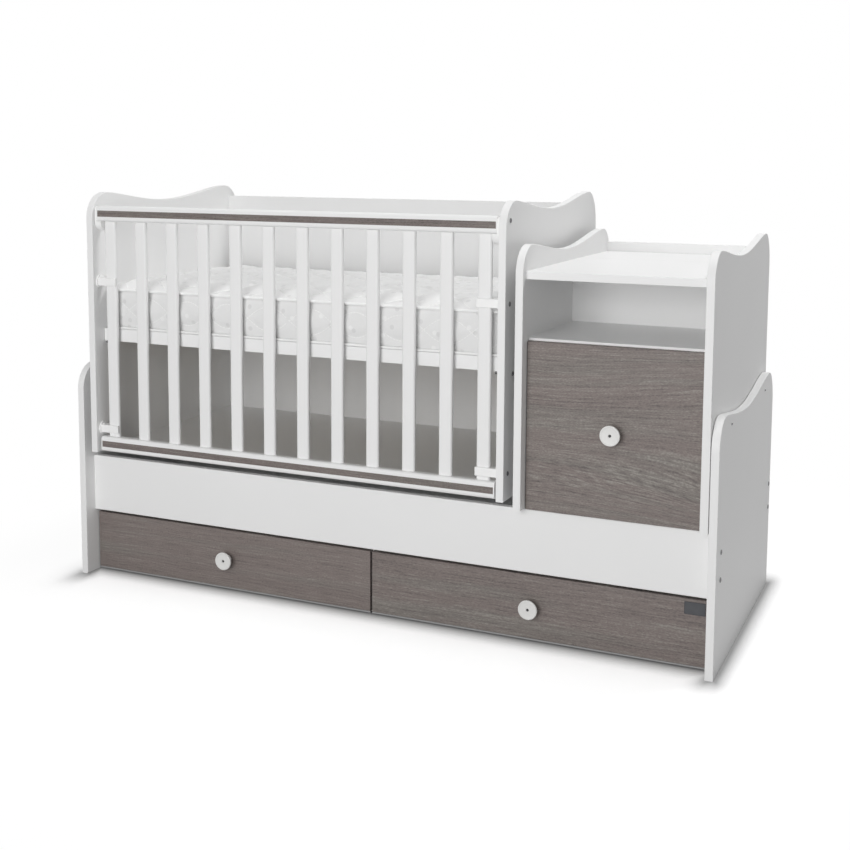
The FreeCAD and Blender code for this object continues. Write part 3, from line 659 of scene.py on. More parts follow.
def arc_points(center, radius, start, end, count):
    """Points of a profile along an arc, with angles in degrees from the outward radius to the back."""
    points = []
    for index in range(count + 1):
        turn = math.radians(start + (end - start) * index / count)
        points.append((center[0] + radius * math.cos(turn), center[1] + radius * math.sin(turn)))
    return points


def knob_profile(radius, reach, sizes):
    """From the bottom of the screw hole over the dished face and the rim to the foot of the neck."""
    steps = 8
    chamfer_width = 0.8 * MILLIMETRE
    chamfer_depth = 0.7 * MILLIMETRE
    dish_rise = 0.7 * MILLIMETRE
    crest_width = 2.2 * MILLIMETRE
    shoulder_width = 0.8 * MILLIMETRE
    shoulder_drop = 0.15 * MILLIMETRE
    rear_step = 0.2 * MILLIMETRE
    rear_inset = 1.0 * MILLIMETRE
    foot_height = 1.5 * MILLIMETRE
    foot_flare = 1.2 * MILLIMETRE
    rim = sizes.knob_rim
    hole = sizes.knob_hole
    dish = sizes.knob_dish
    back = sizes.knob_disc
    neck = sizes.knob_neck
    crest = radius - rim
    lip = hole + chamfer_width
    dish_edge = crest - crest_width
    profile = [(hole, sizes.knob_hole_depth), (hole, dish + chamfer_depth), (lip, dish)]
    for index in range(1, steps + 1):
        share = index / steps
        profile.append((lip + (dish_edge - lip) * share, dish - dish_rise * share ** 2))
    profile.append((dish_edge + shoulder_width, shoulder_drop))
    profile += arc_points((crest, rim), rim, -90, 0, steps)
    profile += arc_points((crest, back - rim), rim, 0, 90, steps)
    start = crest - rear_inset
    for index in range(steps + 1):
        turn = math.pi / 2 * index / steps
        wide = neck + (start - neck) * (1 - math.sin(turn)) ** 1.6
        profile.append((wide, back + (reach - back) * 0.55 * (1 - math.cos(turn)) + rear_step))
    profile += [(neck, reach - foot_height), (neck + foot_flare, reach)]
    return profile


class CRIB_OT_knobs(bpy.types.Operator):
    """Turn the dished knobs of the three drawers"""

    bl_idname = "crib.knobs"
    bl_label = "Knobs"

    def execute(self, context):
        finish = moulded_plastic("knob_plastic", context.scene.crib_colours.knob, 0.34)
        for drawer in DRAWERS:
            low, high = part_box(drawer + "_knob")
            center = Vector(((low.x + high.x) / 2, low.y, (low.z + high.z) / 2))
            profile = knob_profile((high.x - low.x) / 2, high.y - low.y, context.scene.crib_sizes)
            mesh = turned(drawer + "_turned_knob", profile, center)
            piece_from(mesh.name, mesh, finish, drawer, (drawer + "_knob",))
        return {"FINISHED"}


def bolt_head(sizes, segments=24):
    """A low domed bolt head about Z with a hexagon socket, its seat at zero height."""
    top = sizes.bolt_head_height
    side = top * 0.45
    rim = sizes.bolt_head
    half = sizes.bolt_socket

    def circle(radius, height):
        turns = [2 * math.pi * index / segments for index in range(segments)]
        return [Vector((radius * math.cos(turn), radius * math.sin(turn), height)) for turn in turns]

    def hexagon(height):
        points = []
        for point in circle(1.0, height):
            turn = math.atan2(point.y, point.x) % (math.pi / 3) - math.pi / 6
            reach = half / math.cos(turn)
            points.append(Vector((point.x * reach, point.y * reach, height)))
        return points

    steps = 5
    flat = half * 1.35
    rings = [circle(rim * 0.97, 0.0), circle(rim, side * 0.3), circle(rim, side)]
    for index in range(1, steps + 1):
        turn = math.pi / 2 * index / steps
        wide = flat + (rim - flat) * math.cos(turn)
        rings.append(circle(wide, side + (top - side) * math.sin(turn)))
    rings += [hexagon(top), hexagon(top * 0.3)]
    return ring_mesh("bolt_head", rings)


def bolt_tree(material):
    """Bolts on points: a head from a sample and a plain shank, both turned outwards."""
    inputs = {"Head": "NodeSocketObject", "Sides": "NodeSocketInt"}
    sheet, entry, identifiers = node_group("bolts", inputs)
    vector = {"data_type": "FLOAT_VECTOR"}

    def read(label):
        """A vector that each point carries."""
        return sheet.add("GeometryNodeInputNamedAttribute", vector, {"Name": label})

    outward = read("outward")
    turn = sheet.add("FunctionNodeAlignRotationToVector", {"axis": "Z"}, {"Vector": outward}, "Rotation")
    joined = sheet.add("GeometryNodeJoinGeometry")

    def place(part, size):
        """Set a part on every point."""
        values = {"Points": entry.output("Geometry"), "Instance": part, "Rotation": turn, "Scale": size}
        placed = sheet.add("GeometryNodeInstanceOnPoints", None, values)
        sheet.tree.links.new(placed.socket, joined.socket.node.inputs[0])

    head = sheet.add("GeometryNodeObjectInfo", None, {"Object": entry.output("Head")}, "Geometry")
    place(head, read("head"))
    measures = {"Vertices": entry.output("Sides"), "Radius": 1.0, "Depth": 1.0}
    rod = sheet.add("GeometryNodeMeshCylinder", None, measures)
    hung = sheet.add("GeometryNodeTransform", None, {"Geometry": rod, "Translation": (0.0, 0.0, -0.5)})
    place(hung, read("shank"))
    close_group(sheet, joined, material)
    return sheet, identifiers


def bolt_points(node, sizes):
    """A point on each bolt's seat, with the way its head looks, its shank's size and its head's."""
    low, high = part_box(node)
    middle = (low.x + high.x) / 2
    thickest = (4 if node == "mattress_base_supports" else 3) * MILLIMETRE
    points = []
    outward = []
    shanks = []
    heads = []
    for box_low, box_high in solids_of(node):
        center = (box_low + box_high) / 2
        side = 1 if center.x > middle else -1
        seat = (box_high.x if side > 0 else box_low.x) - side * sizes.bolt_head_height
        radius = (box_high.z - box_low.z) / 2
        thick = min(thickest, radius * 0.75)
        points.append((seat, center.y, center.z))
        outward.append((side, 0.0, 0.0))
        shanks.append((thick, thick, box_high.x - box_low.x - sizes.bolt_head_height))
        heads.append((radius / sizes.bolt_head, radius / sizes.bolt_head, 1.0))
    mesh = point_mesh(node + "_points", points)
    for label, values in (("outward", outward), ("shank", shanks), ("head", heads)):
        layer = mesh.attributes.new(label, "FLOAT_VECTOR", "POINT")
        layer.data.foreach_set("vector", [part for value in values for part in value])
    return mesh


class CRIB_OT_bolts(bpy.types.Operator):
    """Set domed bolts with hexagon sockets on the panels"""

    bl_idname = "crib.bolts"
    bl_label = "Bolts"

    def execute(self, context):
        sizes = context.scene.crib_sizes
        finish = frame["nodes"]["base_bolts"].data.materials[0]
        sample = bpy.data.objects.new("bolt_head", bolt_head(sizes))
        context.scene.collection.objects.link(sample)
        sheet, identifiers = bolt_tree(finish)
        for node in ("base_bolts", "crib_bolts", "mattress_base_supports"):
            values = {"Head": sample, "Sides": 20}
            mesh = grown_mesh(node + "_domed", bolt_points(node, sizes), sheet, identifiers, values)
            piece_from(mesh.name, mesh, finish, BODY_OF[node], (node,))
        bpy.data.objects.remove(sample)
        return {"FINISHED"}


def slat_tree(material):
    """A row of upright slats with a rounded section."""
    inputs = {
        "Count": "NodeSocketInt", "Start": "NodeSocketVector", "Pitch": "NodeSocketVector",
        "Width": "NodeSocketFloat", "Thickness": "NodeSocketFloat", "Height": "NodeSocketFloat",
        "Rounding": "NodeSocketFloat",
    }
    sheet, entry, identifiers = node_group("slat_row", inputs)
    section = sheet.add(
        "GeometryNodeCurvePrimitiveQuadrilateral", None,
        {"Width": entry.output("Thickness"), "Height": entry.output("Width")},
    )
    soft = sheet.add(
        "GeometryNodeFilletCurve", {"mode": "POLY"},
        {"Curve": section, "Count": 7, "Radius": entry.output("Rounding")},
    )
    reach = sheet.add("ShaderNodeCombineXYZ", None, {"X": entry.output("Height")})
    path = sheet.add("GeometryNodeCurvePrimitiveLine", None, {"End": reach})
    swept = {"Curve": path, "Profile Curve": soft, "Fill Caps": True}
    slat = sheet.add("GeometryNodeCurveToMesh", None, swept)
    quarter_turn = (0.0, -math.pi / 2, 0.0)
    upright = sheet.add("GeometryNodeTransform", None, {"Geometry": slat, "Rotation": quarter_turn})
    row = sheet.add(
        "GeometryNodeMeshLine", None,
        {
            "Count": entry.output("Count"), "Start Location": entry.output("Start"),
            "Offset": entry.output("Pitch"),
        },
    )
    slats = sheet.add("GeometryNodeInstanceOnPoints", None, {"Points": row, "Instance": upright})
    close_group(sheet, slats, material)
    return sheet, identifiers


class CRIB_OT_slats(bpy.types.Operator):
    """Set the row of slats in the drop side"""

    bl_idname = "crib.slats"
    bl_label = "Drop-side slats"

    def execute(self, context):
        sizes = context.scene.crib_sizes
        node = "drop_side_slats"
        low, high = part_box(node)
        finish = frame["nodes"][node].data.materials[0]
        sheet, identifiers = slat_tree(finish)
        pitch = (high.x - low.x - sizes.slat_width) / (sizes.slat_count - 1)
        values = {
            "Count": sizes.slat_count,
            "Start": (low.x + sizes.slat_width / 2, (low.y + high.y) / 2, low.z),
            "Pitch": (pitch, 0.0, 0.0),
            "Width": sizes.slat_width,
            "Thickness": high.y - low.y,
            "Height": high.z - low.z,
            "Rounding": sizes.slat_round,
        }
        mesh = grown_mesh("drop_side_slat_row", point_mesh("slat_row", []), sheet, identifiers, values)
        piece_from(mesh.name, mesh, finish, BODY_OF[node], (node,))
        return {"FINISHED"}


def plate_ring(low, high, inset, y):
    """The plate's outline with round corners, drawn in by an inset, at one depth."""
    corner = 1.5 * MILLIMETRE
    least = 0.4 * MILLIMETRE
    radius = max(corner - inset * 0.5, least)
    points = []
    spots = ((high.x, high.z, 0), (low.x, high.z, 90), (low.x, low.z, 180), (high.x, low.z, 270))
    for x, z, start in spots:
        middle_x = x + (inset + radius) * (-1 if x == high.x else 1)
        middle_z = z + (inset + radius) * (-1 if z == high.z else 1)
        for across, up in arc_points((middle_x, middle_z), radius, start, start + 90, 5):
            points.append(Vector((across, y, up)))
    return points


class CRIB_OT_plate(bpy.types.Operator):
    """Make the bare plate on the right drawer, with a low rim"""

    bl_idname = "crib.plate"
    bl_label = "Plate"

    def execute(self, context):
        node = "right_drawer_plate"
        low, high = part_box(node)
        rim = 1.2 * MILLIMETRE
        sink = 0.35 * MILLIMETRE
        steps = (
            (0.0, high.y), (0.0, low.y + sink), (sink, low.y), (rim, low.y), (rim + sink, low.y + sink),
        )
        rings = [plate_ring(low, high, inset, y) for inset, y in steps]
        mesh = ring_mesh("right_drawer_bare_plate", rings)
        lay = (40.0, 400.0, 1200.0)
        finish = plated_steel("plate_metal", context.scene.crib_colours.plate, 0.42, lay)
        piece_from(mesh.name, mesh, finish, BODY_OF[node], (node,))
        return {"FINISHED"}


class Mattress:
    """The mattress's form: where its border, crown and seams lie."""

    def __init__(self, sizes):
        low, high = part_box("mattress")
        self.sizes = sizes
        self.middle = (low + high) / 2
        self.half = (high - low) / 2
        self.low = low.z
        self.edge = low.z + sizes.border
        self.side_x = self.half.x - sizes.corner
        self.side_y = self.half.y - sizes.corner
        self.quarter = math.pi / 2 * sizes.corner
        self.total = 4 * (self.side_x + self.side_y) + 4 * self.quarter

    def lines(self, half, cell):
        """Places of grid lines that pass through the middle and end on the edge."""
        count = int((half - cell / 2) / cell)
        return [-half] + [index * cell for index in range(-count, count + 1)] + [half]

    def border_rows(self):
        """Heights of the grid's rows on the border, as shares, closer together at the piped edges."""
        steps = 12
        return [(1 - math.cos(math.pi * index / steps)) / 2 for index in range(steps + 1)]

    def rounded(self, x, y):
        """Move a point of the square plan to the plan with round corners, and give its way outwards."""
        inner_x = max(-self.side_x, min(self.side_x, x))
        inner_y = max(-self.side_y, min(self.side_y, y))
        away = Vector((x - inner_x, y - inner_y, 0.0))
        reach = max(abs(away.x), abs(away.y))
        if reach == 0.0:
            return Vector((x, y, 0.0)), Vector((0.0, 0.0, 0.0))
        outward = away.normalized()
        return Vector((inner_x, inner_y, 0.0)) + outward * reach, outward

    def crowned(self, x, y):
        """Height of the top at a point of the square plan."""
        run = min(self.half.x - abs(x), self.half.y - abs(y)) / self.sizes.crown_run
        rise = math.sqrt(1 - (1 - min(1.0, max(0.0, run))) ** 2)
        return self.edge + self.sizes.crown * rise

    def point(self, x, y, share, top):
        """A point of the cover. Share goes from the lower to the upper edge on the border."""
        sizes = self.sizes
        flat, outward = self.rounded(x, y)
        if share <= 0.0:
            return self.world(flat, self.low)
        if top:
            return self.world(flat, self.crowned(x, y))
        drawn = sizes.waist * math.sin(math.pi * share) ** 0.5
        for rise in (share, 1 - share):
            drawn += sizes.groove * math.exp(-((rise * sizes.border / sizes.groove_width) ** 2))
        drawn = 0.0 if share >= 1.0 else drawn
        return self.world(flat - outward * drawn, self.low + sizes.border * share)

    def world(self, flat, height):
        """A point of the plan at a height, in the part's frame."""
        return Vector((self.middle.x + flat.x, self.middle.y + flat.y, height))

    def loop(self, inset, height, count=640):
        """Evenly spread points round the plan, drawn in by an inset."""
        return [self.on_loop(index / count * self.total, inset, height) for index in range(count)]

    def on_loop(self, way, inset, height):
        """A point at a distance along the plan's outline, from the middle of the front to the right."""
        corner = self.sizes.corner
        right = self.side_x
        rear = self.side_y
        bend = self.quarter
        legs = (right, bend, 2 * rear, bend, 2 * right, bend, 2 * rear, bend, right)
        corners = ((right, -rear, -90), (right, rear, 0), (-right, rear, 90), (-right, -rear, 180))
        starts = ((0.0, -rear), (right, -rear), (right, rear), (-right, rear), (-right, -rear))
        headings = (0, 90, 180, 270, 360)
        for leg, reach in enumerate(legs):
            if way <= reach or leg == len(legs) - 1:
                break
            way -= reach
        if leg % 2:
            x, y, start = corners[leg // 2]
            turn = math.radians(start) + way / corner
            outward = Vector((math.cos(turn), math.sin(turn), 0.0))
            flat = Vector((x, y, 0.0))
        else:
            turn = math.radians(headings[leg // 2])
            outward = Vector((math.sin(turn), -math.cos(turn), 0.0))
            x, y = starts[leg // 2]
            flat = Vector((x + way * math.cos(turn), y + way * math.sin(turn), 0.0))
        return self.world(flat + outward * (corner - inset), height)


def cover_form(plan):
    """The cover as a closed grid, with a UV map in metres that follows the top and the border."""
    cell = plan.sizes.quilt_pitch / 12
    xs = plan.lines(plan.half.x, cell)
    ys = plan.lines(plan.half.y, cell)
    shares = plan.border_rows()
    rows = len(shares) - 1
    last_x = len(xs) - 1
    last_y = len(ys) - 1
    form = bmesh.new()
    made = {}

    def corner(i, j, k):
        if (i, j, k) not in made:
            inside = 0 < i < last_x and 0 < j < last_y
            made[i, j, k] = form.verts.new(plan.point(xs[i], ys[j], shares[k], inside))
        return made[i, j, k]

    def quad(*keys):
        return form.faces.new([corner(*key) for key in keys])

    layer = form.loops.layers.uv.new("cloth")

    def spread(face, first, second, shift):
        for loop in face.loops:
            place = loop.vert.co
            loop[layer].uv = (place[first] + shift, place[second])

    def wall(first, second, k, axis, shift):
        """A quad of the border between two columns of points."""
        spread(quad((*first, k), (*second, k), (*second, k + 1), (*first, k + 1)), axis, 2, shift)

    for i in range(last_x):
        for j in range(last_y):
            for k, order in ((rows, 1), (0, -1)):
                keys = [(i, j, k), (i + 1, j, k), (i + 1, j + 1, k), (i, j + 1, k)]
                spread(quad(*keys[::order]), 0, 1, 0.0)
    # The shifts give each side of the border a stretch of cloth of its own.
    for k in range(rows):
        for i in range(last_x):
            wall((i, 0), (i + 1, 0), k, 0, 3.0)
            wall((i + 1, last_y), (i, last_y), k, 0, 6.0)
        for j in range(last_y):
            wall((0, j + 1), (0, j), k, 1, 9.0)
            wall((last_x, j), (last_x, j + 1), k, 1, 12.0)
    return mesh_from("mattress_cover", form)


def swell_cover(cover, plan):
    """Let a light inner pressure swell the cover between its piped edges, within a small reach."""
    pressure = 4.0
    frames = 20
    margin = 4 * MILLIMETRE
    mesh = cover.data
    start = [vertex.co.copy() for vertex in mesh.vertices]
    held = []
    for vertex in mesh.vertices:
        at_edge = abs(vertex.co.z - plan.edge) < margin and vertex.normal.z < 0.9
        if vertex.co.z < plan.low + margin or at_edge:
            held.append(vertex.index)
    group = cover.vertex_groups.new(name="sewn_edges")
    group.add(held, 1.0, "REPLACE")
    cloth = cover.modifiers.new("swell", "CLOTH")
    cloth.settings.vertex_group_mass = group.name
    cloth.settings.use_pressure = True
    cloth.settings.uniform_pressure_force = pressure
    cloth.settings.effector_weights.gravity = 0.0
    cloth.point_cache.frame_start = 1
    cloth.point_cache.frame_end = frames
    for step in range(1, frames + 1):
        bpy.context.scene.frame_set(step)
    graph = bpy.context.evaluated_depsgraph_get()
    settled = [vertex.co.copy() for vertex in cover.evaluated_get(graph).data.vertices]
    cover.modifiers.remove(cloth)
    cover.vertex_groups.remove(group)
    bpy.context.scene.frame_set(1)
    for vertex, first, last in zip(mesh.vertices, start, settled):
        move = last - first
        if move.length > plan.sizes.swell:
            move = move.normalized() * plan.sizes.swell
        vertex.co = first + move
    mesh.update()


def seam_distance(plan, x, y):
    """Distance in plan from the nearest slanting seam of the top."""
    pitch = plan.sizes.quilt_pitch
    nearest = pitch
    for slope in (-1, 1):
        offset = (x - slope * y) / pitch - 0.5
        nearest = min(nearest, abs(offset - round(offset)) * pitch / math.sqrt(2))
    return nearest


def wave_height(plan, way, sign):
    """Height of a border seam at a distance along the outline."""
    middle = plan.low + plan.sizes.border / 2
    return middle + sign * plan.sizes.wave_height * math.sin(2 * math.pi * way / plan.sizes.wave_length)


def border_way(plan, x, y):
    """Distance along the border for the seams: along X on the long sides, along Y on the short ones."""
    if plan.half.x - abs(x) < plan.half.y - abs(y):
        return y if x > 0 else -y
    return x if y < 0 else -x


def quilt_cover(cover, plan):
    """Sink the sewn seams into the cover and give it the slight unevenness of its filling."""
    mesh = cover.data
    sizes = plan.sizes
    normals = [vertex.normal.copy() for vertex in mesh.vertices]
    for vertex, normal in zip(mesh.vertices, normals):
        x = vertex.co.x - plan.middle.x
        y = vertex.co.y - plan.middle.y
        if vertex.co.z < plan.low + MILLIMETRE:
            continue
        if vertex.co.z > plan.edge + 1.5 * MILLIMETRE:
            near = seam_distance(plan, x, y)
            rise = min(1.0, (vertex.co.z - plan.edge) / sizes.crown)
            depth = sizes.quilt_depth * rise
        else:
            way = border_way(plan, x, y)
            share = (vertex.co.z - plan.low) / sizes.border
            slope = math.cos(2 * math.pi * way / sizes.wave_length)
            slope *= 2 * math.pi * sizes.wave_height / sizes.wave_length
            steep = math.sqrt(1 + slope ** 2)
            near = min(abs(vertex.co.z - wave_height(plan, way, sign)) for sign in (-1, 1)) / steep
            depth = sizes.quilt_depth * 0.8 * math.sin(math.pi * min(1.0, max(0.0, share))) ** 0.4
        sunk = depth * math.exp(-((near / sizes.quilt_width) ** 1.4))
        lumps = noise.noise(vertex.co * 14.0) * 0.8
        creases = noise.noise(vertex.co * 45.0) * 0.35
        vertex.co -= normal * (sunk - (lumps + creases) * MILLIMETRE)
    mesh.update()


def refined(piece):
    """Divide every face of a piece once, rounding the form."""
    smooth = piece.modifiers.new("refine", "SUBSURF")
    smooth.levels = 1
    smooth.render_levels = 1
    graph = bpy.context.evaluated_depsgraph_get()
    mesh = bpy.data.meshes.new_from_object(
        piece.evaluated_get(graph), preserve_all_data_layers=True, depsgraph=graph
    )
    piece.modifiers.remove(smooth)
    piece.data = mesh


def top_seams(tree, plan):
    """Lines on the cover along the slanting seams of its top."""
    inset = 12 * MILLIMETRE
    lift = Vector((0.0, 0.0, 0.15 * MILLIMETRE))
    down = Vector((0.0, 0.0, -1.0))
    height = plan.edge + 0.2
    pitch = plan.sizes.quilt_pitch
    reach_x = plan.half.x - inset
    reach_y = plan.half.y - inset
    count = int((reach_x + reach_y) / pitch)
    paths = []
    for slope in (-1, 1):
        for index in range(-count - 1, count + 1):
            offset = (index + 0.5) * pitch
            path = []
            for number in range(int(2 * reach_y / SEAM_STEP) + 1):
                y = -reach_y + number * SEAM_STEP
                x = offset + slope * y
                if abs(x) <= reach_x:
                    path.append(tree.ray_cast(plan.world(Vector((x, y)), height), down)[0] + lift)
            if len(path) > 3:
                paths.append((path, False))
    return paths


def border_seams(tree, plan):
    """Lines on the cover along the crossing waves of its border."""
    inside = 60 * MILLIMETRE
    outside = -50 * MILLIMETRE
    lift = 0.15 * MILLIMETRE
    paths = []
    for sign in (-1, 1):
        path = []
        for number in range(int(plan.total / SEAM_STEP)):
            way = number * SEAM_STEP
            inner = plan.on_loop(way, inside, plan.edge)
            outer = plan.on_loop(way, outside, plan.edge)
            spot = border_way(plan, outer.x - plan.middle.x, outer.y - plan.middle.y)
            start = Vector((outer.x, outer.y, wave_height(plan, spot, sign)))
            inward = Vector((inner.x - outer.x, inner.y - outer.y, 0.0)).normalized()
            hit = tree.ray_cast(start, inward)[0]
            if hit is not None:
                path.append(hit - inward * lift)
        paths.append((path, False))
    return paths


def stitch_tree(material):
    """Short stitches laid along lines."""
    inputs = {"Length": "NodeSocketFloat", "Pitch": "NodeSocketFloat", "Thickness": "NodeSocketFloat"}
    sheet, entry, identifiers = node_group("stitches", inputs)
    lines = sheet.add("GeometryNodeMeshToCurve", None, {"Mesh": entry.output("Geometry")})
    spacing = {"Curve": lines, "Length": entry.output("Pitch")}
    spots = sheet.add("GeometryNodeCurveToPoints", {"mode": "LENGTH"}, spacing)
    bead = sheet.add("GeometryNodeMeshUVSphere", None, {"Segments": 6, "Rings": 4, "Radius": 0.5})
    size = sheet.add(
        "ShaderNodeCombineXYZ", None,
        {"X": entry.output("Thickness"), "Y": entry.output("Thickness"), "Z": entry.output("Length")},
    )
    stitches = sheet.add(
        "GeometryNodeInstanceOnPoints", None,
        {"Points": spots, "Instance": bead, "Rotation": spots.output("Rotation"), "Scale": size},
    )
    close_group(sheet, stitches, material)
    return sheet, identifiers


def piping_tree(material):
    """A round cord of cloth along closed lines."""
    sheet, entry, identifiers = node_group("piping", {"Radius": "NodeSocketFloat"})
    line = sheet.add("GeometryNodeMeshToCurve", None, {"Mesh": entry.output("Geometry")})
    section = {"Resolution": 10, "Radius": entry.output("Radius")}
    ring = sheet.add("GeometryNodeCurvePrimitiveCircle", None, section)
    cord = sheet.add("GeometryNodeCurveToMesh", None, {"Curve": line, "Profile Curve": ring})
    close_group(sheet, cord, material)
    return sheet, identifiers


def sewn_cover(plan, colours):
    """The quilted cover, swelled by its filling."""
    cover = bpy.data.objects.new("mattress_cover", cover_form(plan))
    bpy.context.scene.collection.objects.link(cover)
    swell_cover(cover, plan)
    refined(cover)
    quilt_cover(cover, plan)
    cover.data.shade_smooth()
    dress(cover, quilted_cloth(colours))
    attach(cover, BODY_OF["mattress"])
    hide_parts("mattress")
    return cover


def edge_piping(plan, finish):
    """Piping along the upper and the lower edge of the border."""
    radius = plan.sizes.piping
    inset = radius * 0.6
    loops = [(plan.loop(inset, height), True) for height in (plan.edge, plan.low + radius)]
    sheet, identifiers = piping_tree(finish)
    lines = path_mesh("piping", loops)
    return grown_mesh("mattress_piping", lines, sheet, identifiers, {"Radius": radius})


def quilt_stitches(cover, plan, finish):
    """Stitches along all the quilting seams."""
    sizes = plan.sizes
    thickness = 2.4 * MILLIMETRE
    values = {"Length": sizes.stitch_length, "Pitch": sizes.stitch_pitch, "Thickness": thickness}
    mesh = cover.data
    tree = BVHTree.FromPolygons(
        [vertex.co for vertex in mesh.vertices], [polygon.vertices for polygon in mesh.polygons]
    )
    lines = path_mesh("seams", top_seams(tree, plan) + border_seams(tree, plan))
    sheet, identifiers = stitch_tree(finish)
    return grown_mesh("mattress_stitches", lines, sheet, identifiers, values)


class CRIB_OT_mattress(bpy.types.Operator):
    """Make the quilted mattress with its piping and stitches"""

    bl_idname = "crib.mattress"
    bl_label = "Mattress"

    def execute(self, context):
        colours = context.scene.crib_colours
        plan = Mattress(context.scene.crib_sizes)
        cover = sewn_cover(plan, colours)
        finish = thread_cloth(colours)
        for mesh in (edge_piping(plan, finish), quilt_stitches(cover, plan, finish)):
            piece_from(mesh.name, mesh, finish, BODY_OF["mattress"])
        return {"FINISHED"}


def seen_directly(sheet):
    """One for rays from the camera, straight or by way of a mirror or glass."""
    path = sheet.add("ShaderNodeLightPath")
    seen = path.output("Is Camera Ray").larger(path.output("Is Glossy Ray"))
    return seen.larger(path.output("Is Transmission Ray"))


def floor_finish():
    """A white floor that fades into the white background. It keeps the real shadow close to the crib and
    adds a painted contact shadow around the crib's footprint and feet.
    """
    material, sheet = new_finish("studio_floor")
    where = sheet.where()
    # This shift of the footprint makes the painted contact shadow lean to the right; it also moves the
    # fade to white.
    painted_shadow_lean = 0.006
    # Sideways, the painted shadow and the fade reach this many times less far than in front.
    sideways = 2.4
    painted_shadow_reach = 0.070
    painted_foot_shadow_reach = 0.140
    white = (1.0, 1.0, 1.0, 1.0)
    bounce_grey = (0.45, 0.45, 0.45, 1.0)
    painted_shadow_grey = (0.50, 0.50, 0.50, 1.0)
    x, y, _ = sheet.axes(where)
    out = abs(x - painted_shadow_lean)
    panel_low, panel_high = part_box("base_right_end_panel")
    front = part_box("left_drawer_front")[0].y
    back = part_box("base_back_board")[1].y

    def distance(x_low, x_high, y_low, y_high):
        """How far the floor's point lies from a footprint that the left and right halves mirror."""
        beside = (abs(out - (x_low + x_high) / 2) - (x_high - x_low) / 2).larger(0.0)
        before = (abs(y - (y_low + y_high) / 2) - (y_high - y_low) / 2).larger(0.0)
        return ((beside * sideways) ** 2 + before * before) ** 0.5

    feet = distance(panel_low.x, panel_high.x, panel_low.y, panel_high.y)
    gap = distance(-panel_high.x, panel_high.x, front, back)
    seen = seen_directly(sheet)
    # Strength of the painted contact shadow, growing towards the footprint and towards the feet of the
    # end panels.
    near = (1 - gap / painted_shadow_reach).larger(0.0) ** 1.5
    near = near.larger((1 - feet / painted_foot_shadow_reach).larger(0.0) ** 2.2)
    bounce = sheet.mix(seen, bounce_grey, white)
    # Near the crib, the floor seen by the camera is painted grey and loses its lift: a painted shadow on
    # top of the real one.
    tone = sheet.mix(near * seen, bounce, painted_shadow_grey)
    matt = sheet.add("ShaderNodeBsdfDiffuse", None, {"Color": tone})
    lift = sheet.add("ShaderNodeEmission", None, {"Strength": seen * (1 - near) * 0.45})
    lit = sheet.add("ShaderNodeAddShader", None, {0: matt, 1: lift})
    backdrop = sheet.add("ShaderNodeEmission", None, {"Strength": 1.0})
    cleared = gap.smaller(feet).step(0.05, 0.25) * 0.8 + gap.step(0.5, 1.2) * 0.2
    mixed = sheet.add("ShaderNodeMixShader", None, {0: cleared * seen, 1: lit, 2: backdrop})
    sheet.add("ShaderNodeOutputMaterial", None, {"Surface": mixed})
    return material


def studio_world(ambient):
    """Even light from all round, seen as plain white."""
    world = bpy.data.worlds.new("studio")
    world.use_nodes = True
    world.node_tree.nodes.clear()
    sheet = Sheet(world.node_tree)
    seen = seen_directly(sheet)
    strength = seen * (1.0 - ambient) + ambient
    back = sheet.add("ShaderNodeBackground", None, {"Color": (1.0, 1.0, 1.0, 1.0), "Strength": strength})
    sheet.add("ShaderNodeOutputWorld", None, {"Surface": back})
    return world


def softbox(name, place, target, size, watts):
    """A square soft lamp that looks at a target."""
    lamp = bpy.data.lights.new(name, "AREA")
    lamp.shape = "SQUARE"
    lamp.size = size
    lamp.energy = watts
    holder = bpy.data.objects.new(name, lamp)
    bpy.context.scene.collection.objects.link(holder)
    way = Vector(target) - Vector(place)
    holder.matrix_world = Matrix.Translation(place) @ way.to_track_quat("-Z", "Y").to_matrix().to_4x4()


def studio_camera(stage):
    """The photograph's camera. Its frame is square, and its axis lies left of and above the middle."""
    frame_pixels = 850
    axis_pixel = (407.41, 293.30)
    data = bpy.data.cameras.new("studio_camera")
    data.sensor_fit = "HORIZONTAL"
    data.sensor_width = 36.0
    data.lens = stage.lens
    data.shift_x = (frame_pixels / 2 - axis_pixel[0]) / frame_pixels
    data.shift_y = (axis_pixel[1] - frame_pixels / 2) / frame_pixels
    camera = bpy.data.objects.new("studio_camera", data)
    bpy.context.scene.collection.objects.link(camera)
    turn = Matrix.Rotation(stage.azimuth, 4, "Z")
    turn = turn @ Matrix.Rotation(math.pi / 2 - stage.tilt, 4, "X")
    turn = turn @ Matrix.Rotation(stage.roll, 4, "Z")
    camera.matrix_world = Matrix.Translation(stage.place) @ turn
    bpy.context.scene.camera = camera


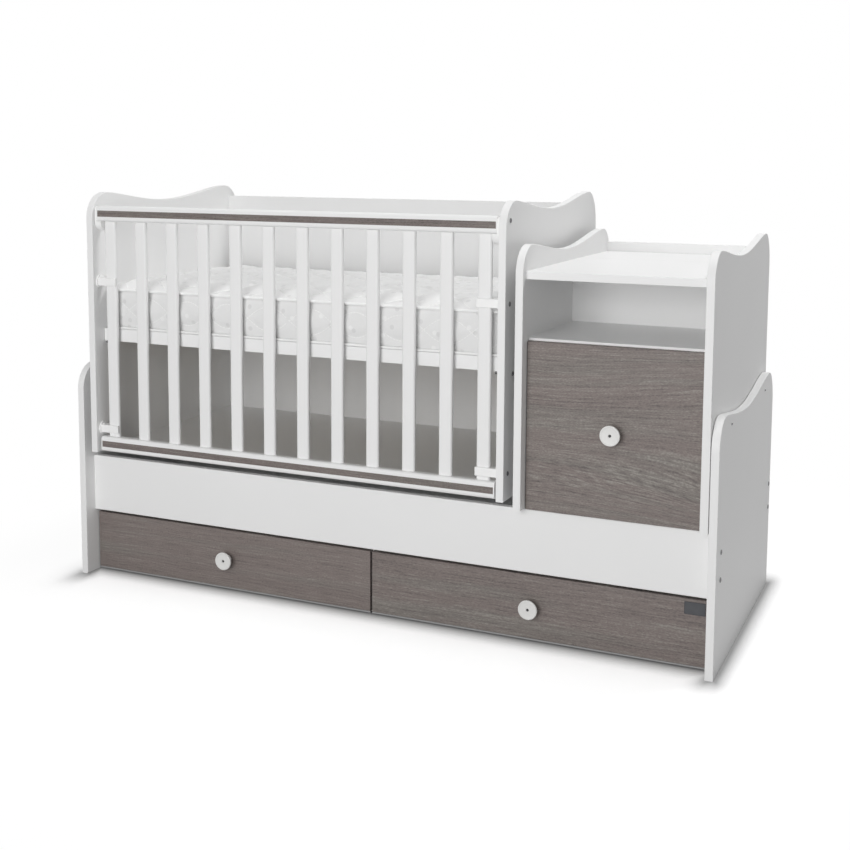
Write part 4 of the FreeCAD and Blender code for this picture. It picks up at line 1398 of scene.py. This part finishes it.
class CRIB_OT_stage(bpy.types.Operator):
    """Set the white floor, the studio light and the camera"""

    bl_idname = "crib.stage"
    bl_label = "Studio stage"

    def execute(self, context):
        stage = context.scene.crib_stage
        half = 9.0
        corners = [(x * half, y * half, 0.0) for x, y in ((-1, -1), (1, -1), (1, 1), (-1, 1))]
        mesh = bpy.data.meshes.new("studio_floor")
        mesh.from_pydata(corners, [], [(0, 1, 2, 3)])
        floor = bpy.data.objects.new("studio_floor", mesh)
        context.scene.collection.objects.link(floor)
        dress(floor, floor_finish())
        context.scene.world = studio_world(stage.ambient)
        middle = (0.0, 0.0, 0.5)
        softbox("front_light", (0.15, -4.4, 1.35), middle, 2.3, stage.front)
        softbox("upper_light", (0.3, 0.2, 3.6), middle, 1.6, stage.upper)
        softbox("side_light", (1.5, 1.0, 4.0), middle, 1.2, stage.side)
        studio_camera(stage)
        context.scene.view_settings.view_transform = "Standard"
        return {"FINISHED"}


OPERATORS = (
    CRIB_OT_white_boards,
    CRIB_OT_wood_fronts,
    CRIB_OT_hardware,
    CRIB_OT_mouldings,
    CRIB_OT_knobs,
    CRIB_OT_bolts,
    CRIB_OT_slats,
    CRIB_OT_plate,
    CRIB_OT_mattress,
    CRIB_OT_stage,
)
GROUPS = {"crib_colours": CribColours, "crib_sizes": CribSizes, "crib_stage": CribStage}


class CRIB_PT_pieces(bpy.types.Panel):
    """Lists the crib's operators"""

    bl_idname = "CRIB_PT_pieces"
    bl_label = "Convertible crib"
    bl_space_type = "VIEW_3D"
    bl_region_type = "UI"
    bl_category = "Crib"

    def draw(self, context):
        for operator in OPERATORS:
            self.layout.operator(operator.bl_idname)


CLASSES = tuple(GROUPS.values()) + OPERATORS + (CRIB_PT_pieces,)


def register():
    for kind in CLASSES:
        bpy.utils.register_class(kind)
    for name, kind in GROUPS.items():
        setattr(bpy.types.Scene, name, PointerProperty(type=kind))


def unregister():
    for name in GROUPS:
        delattr(bpy.types.Scene, name)
    for kind in reversed(CLASSES):
        bpy.utils.unregister_class(kind)


def main():
    register()
    for operator in OPERATORS:
        group, action = operator.bl_idname.split(".")
        getattr(getattr(bpy.ops, group), action)()


if __name__ == "__main__":
    main()
